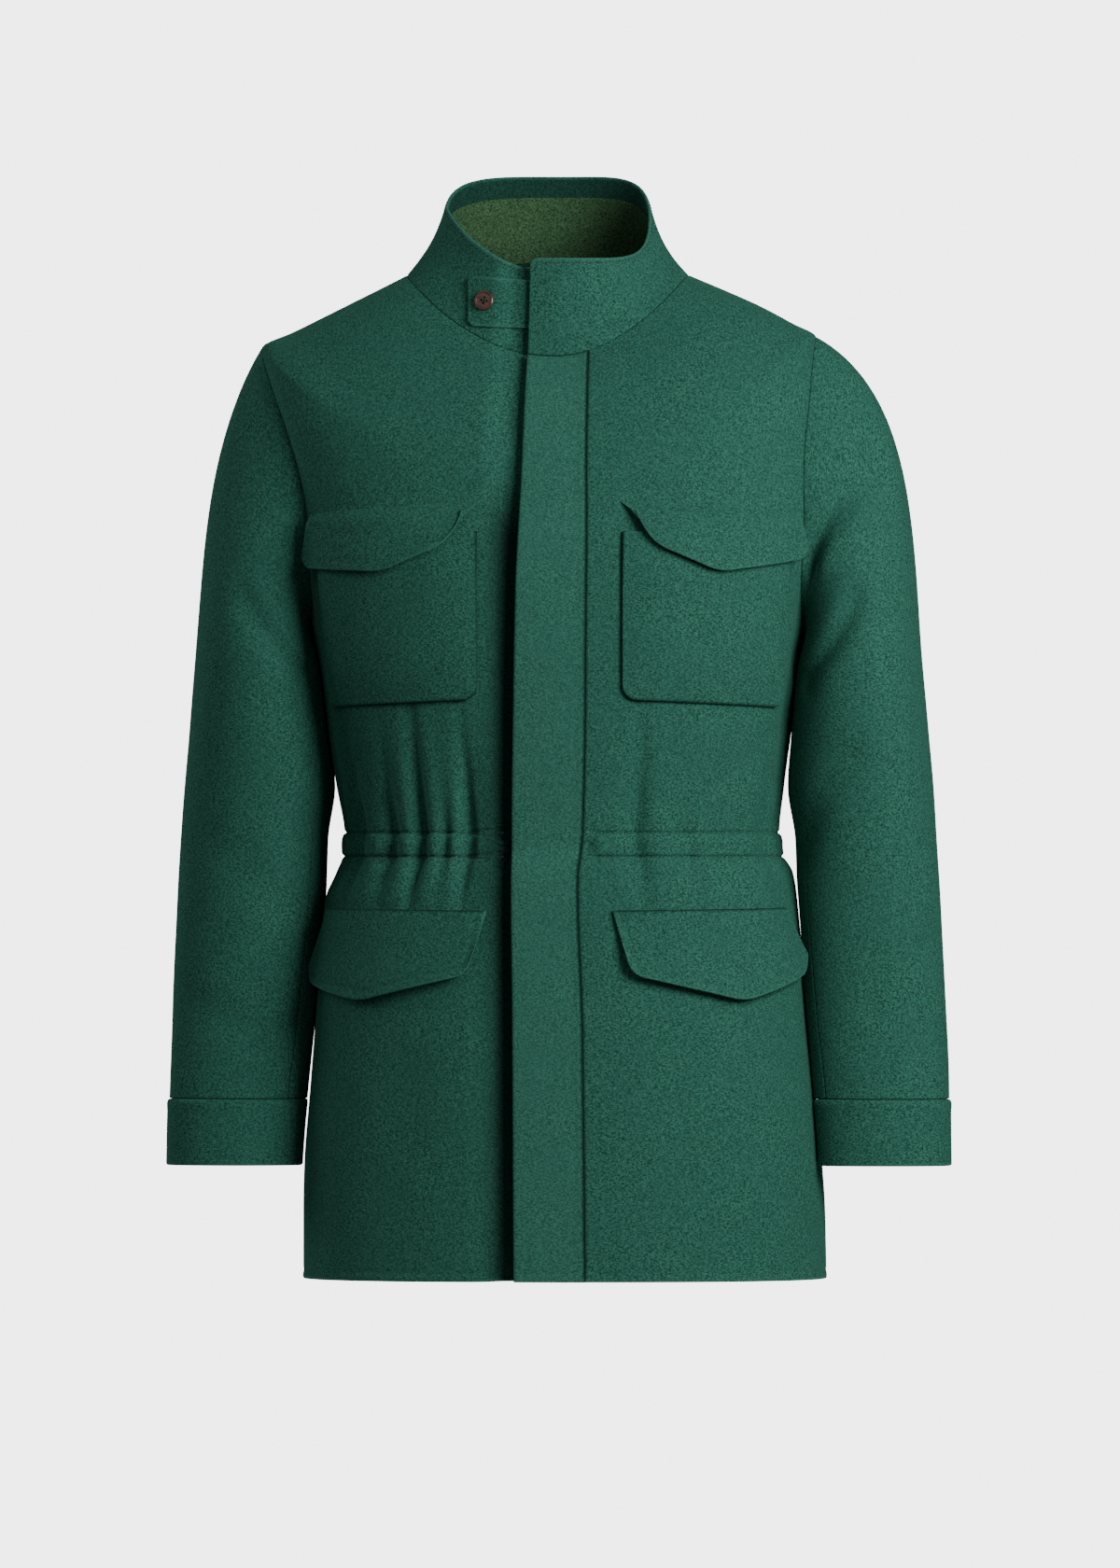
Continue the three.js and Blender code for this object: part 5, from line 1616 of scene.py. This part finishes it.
def aim(thing, place, target):
    """Places a light or camera and turns it towards a target."""
    thing.location = place
    way = np.array(target, float) - np.array(place, float)
    flat = np.hypot(way[0], way[1])
    thing.rotation_euler = (np.arctan2(flat, -way[2]), 0, np.arctan2(-way[0], way[1]))


def around_jacket(azimuth, height, distance):
    """A place at an azimuth from the front towards the wearer's left."""
    turn = np.radians(azimuth)
    return (distance * np.sin(turn), -distance * np.cos(turn), height)


# Size, azimuth, height and distance of each lamp
LAMPS = {"key": (1.0, 44, 0.3, 2.0), "fill": (1.6, -30, 1.0, 2.4), "rim": (1.0, -98, 0.3, 2.0)}
# Height of the jacket's middle, which the lamps face
MIDDLE_HEIGHT = -0.4


def soft_light(name, power, size, azimuth, height, distance):
    """A square lamp that faces the jacket."""
    lamp = bpy.data.lights.new(name, "AREA")
    lamp.energy, lamp.size = power, size
    aim(put(name, lamp), around_jacket(azimuth, height, distance), (0, 0, MIDDLE_HEIGHT))


VIEW_AZIMUTH, VIEW_DISTANCE, VIEW_HEIGHT, SENSOR = 3.5, 16.0, -0.405, 36.0
PHOTO_HIGH = 1.26
FLOOR_RADIUS, FLOOR_HEIGHT, FLOOR_SIDES = 0.56, -1.06, 64


class JACKET_OT_studio(Making, bpy.types.Operator):
    """Set up the camera, the pale floor and backdrop, and the soft lights"""

    bl_idname = "jacket.studio"
    bl_label = "Studio"

    def execute(self, context):
        studio = context.scene.jacket_studio
        camera = bpy.data.cameras.new("camera")
        camera.lens = SENSOR * VIEW_DISTANCE / PHOTO_HIGH
        camera.sensor_width = SENSOR
        camera.clip_end = 60
        view = put("camera", camera)
        aim(view, around_jacket(VIEW_AZIMUTH, VIEW_HEIGHT, VIEW_DISTANCE), (0, 0, VIEW_HEIGHT))
        context.scene.camera = view
        for name, place in LAMPS.items():
            soft_light(name, getattr(studio, name), *place)
        turn = np.linspace(0, 2 * np.pi, FLOOR_SIDES + 1)[:-1]
        high = np.full(FLOOR_SIDES, FLOOR_HEIGHT)
        ring = [FLOOR_RADIUS * np.sin(turn), FLOOR_RADIUS * np.cos(turn), high]
        mesh = bpy.data.meshes.new("floor")
        mesh.from_pydata(np.stack(ring, axis=-1).tolist(), [], [list(range(FLOOR_SIDES - 1, -1, -1))])
        floor = put("floor", mesh)
        finish = Finish(bpy.data.materials.new("pale_floor"))
        speck = finish.noise(finish.place(False), 60, 2, 0.5)
        tone = finish.blend(speck.within(0.3, 0.7), (0.74, 0.74, 0.74, 1), (0.80, 0.80, 0.80, 1))
        floor.data.materials.append(finish.end({"Base Color": tone, "Roughness": 0.9}))
        surroundings(context.scene, studio)
        return {"FINISHED"}


def surroundings(scene, studio):
    """A plain pale backdrop for the camera, and a dimmer even light for everything else."""
    scene.world = bpy.data.worlds.new("studio")
    finish = Finish(scene.world)
    seen_by_camera = finish.add("ShaderNodeLightPath")
    around, backdrop = (
        finish.add("ShaderNodeBackground", {}, {"Color": (1, 1, 1, 1), "Strength": strength})
        for strength in (studio.around, studio.backdrop)
    )
    mixed = finish.add("ShaderNodeMixShader", {}, {0: seen_by_camera, 1: around, 2: backdrop})
    finish.add("ShaderNodeOutputWorld", {}, {"Surface": mixed})


STEPS = (
    "studio", "fronts", "back", "placket", "sleeves", "cuffs", "collar", "tab", "pockets", "flaps",
    "stitches",
)


class JACKET_PT_steps(bpy.types.Panel):
    """Lists the steps and what they can be set to"""

    bl_idname = "JACKET_PT_steps"
    bl_label = "Field jacket"
    bl_space_type = "VIEW_3D"
    bl_region_type = "UI"
    bl_category = "Jacket"

    def draw(self, context):
        for group in (context.scene.jacket_cloth, context.scene.jacket_trim, context.scene.jacket_studio):
            for name in group.__annotations__:
                self.layout.prop(group, name)
        for step in STEPS:
            self.layout.operator("jacket.%s" % step)


CLASSES = (
    JacketCloth, JacketTrim, JacketStudio, JACKET_OT_studio, JACKET_OT_fronts, JACKET_OT_back,
    JACKET_OT_placket, JACKET_OT_sleeves, JACKET_OT_cuffs, JACKET_OT_collar, JACKET_OT_tab,
    JACKET_OT_pockets, JACKET_OT_flaps, JACKET_OT_stitches, JACKET_PT_steps,
)


def register():
    for one in CLASSES:
        bpy.utils.register_class(one)
    bpy.types.Scene.jacket_cloth = bpy.props.PointerProperty(type=JacketCloth)
    bpy.types.Scene.jacket_trim = bpy.props.PointerProperty(type=JacketTrim)
    bpy.types.Scene.jacket_studio = bpy.props.PointerProperty(type=JacketStudio)


def unregister():
    for name in ("jacket_cloth", "jacket_trim", "jacket_studio"):
        delattr(bpy.types.Scene, name)
    for one in reversed(CLASSES):
        bpy.utils.unregister_class(one)


def main():
    register()
    for step in STEPS:
        getattr(bpy.ops.jacket, step)()


if __name__ == "__main__":
    main()
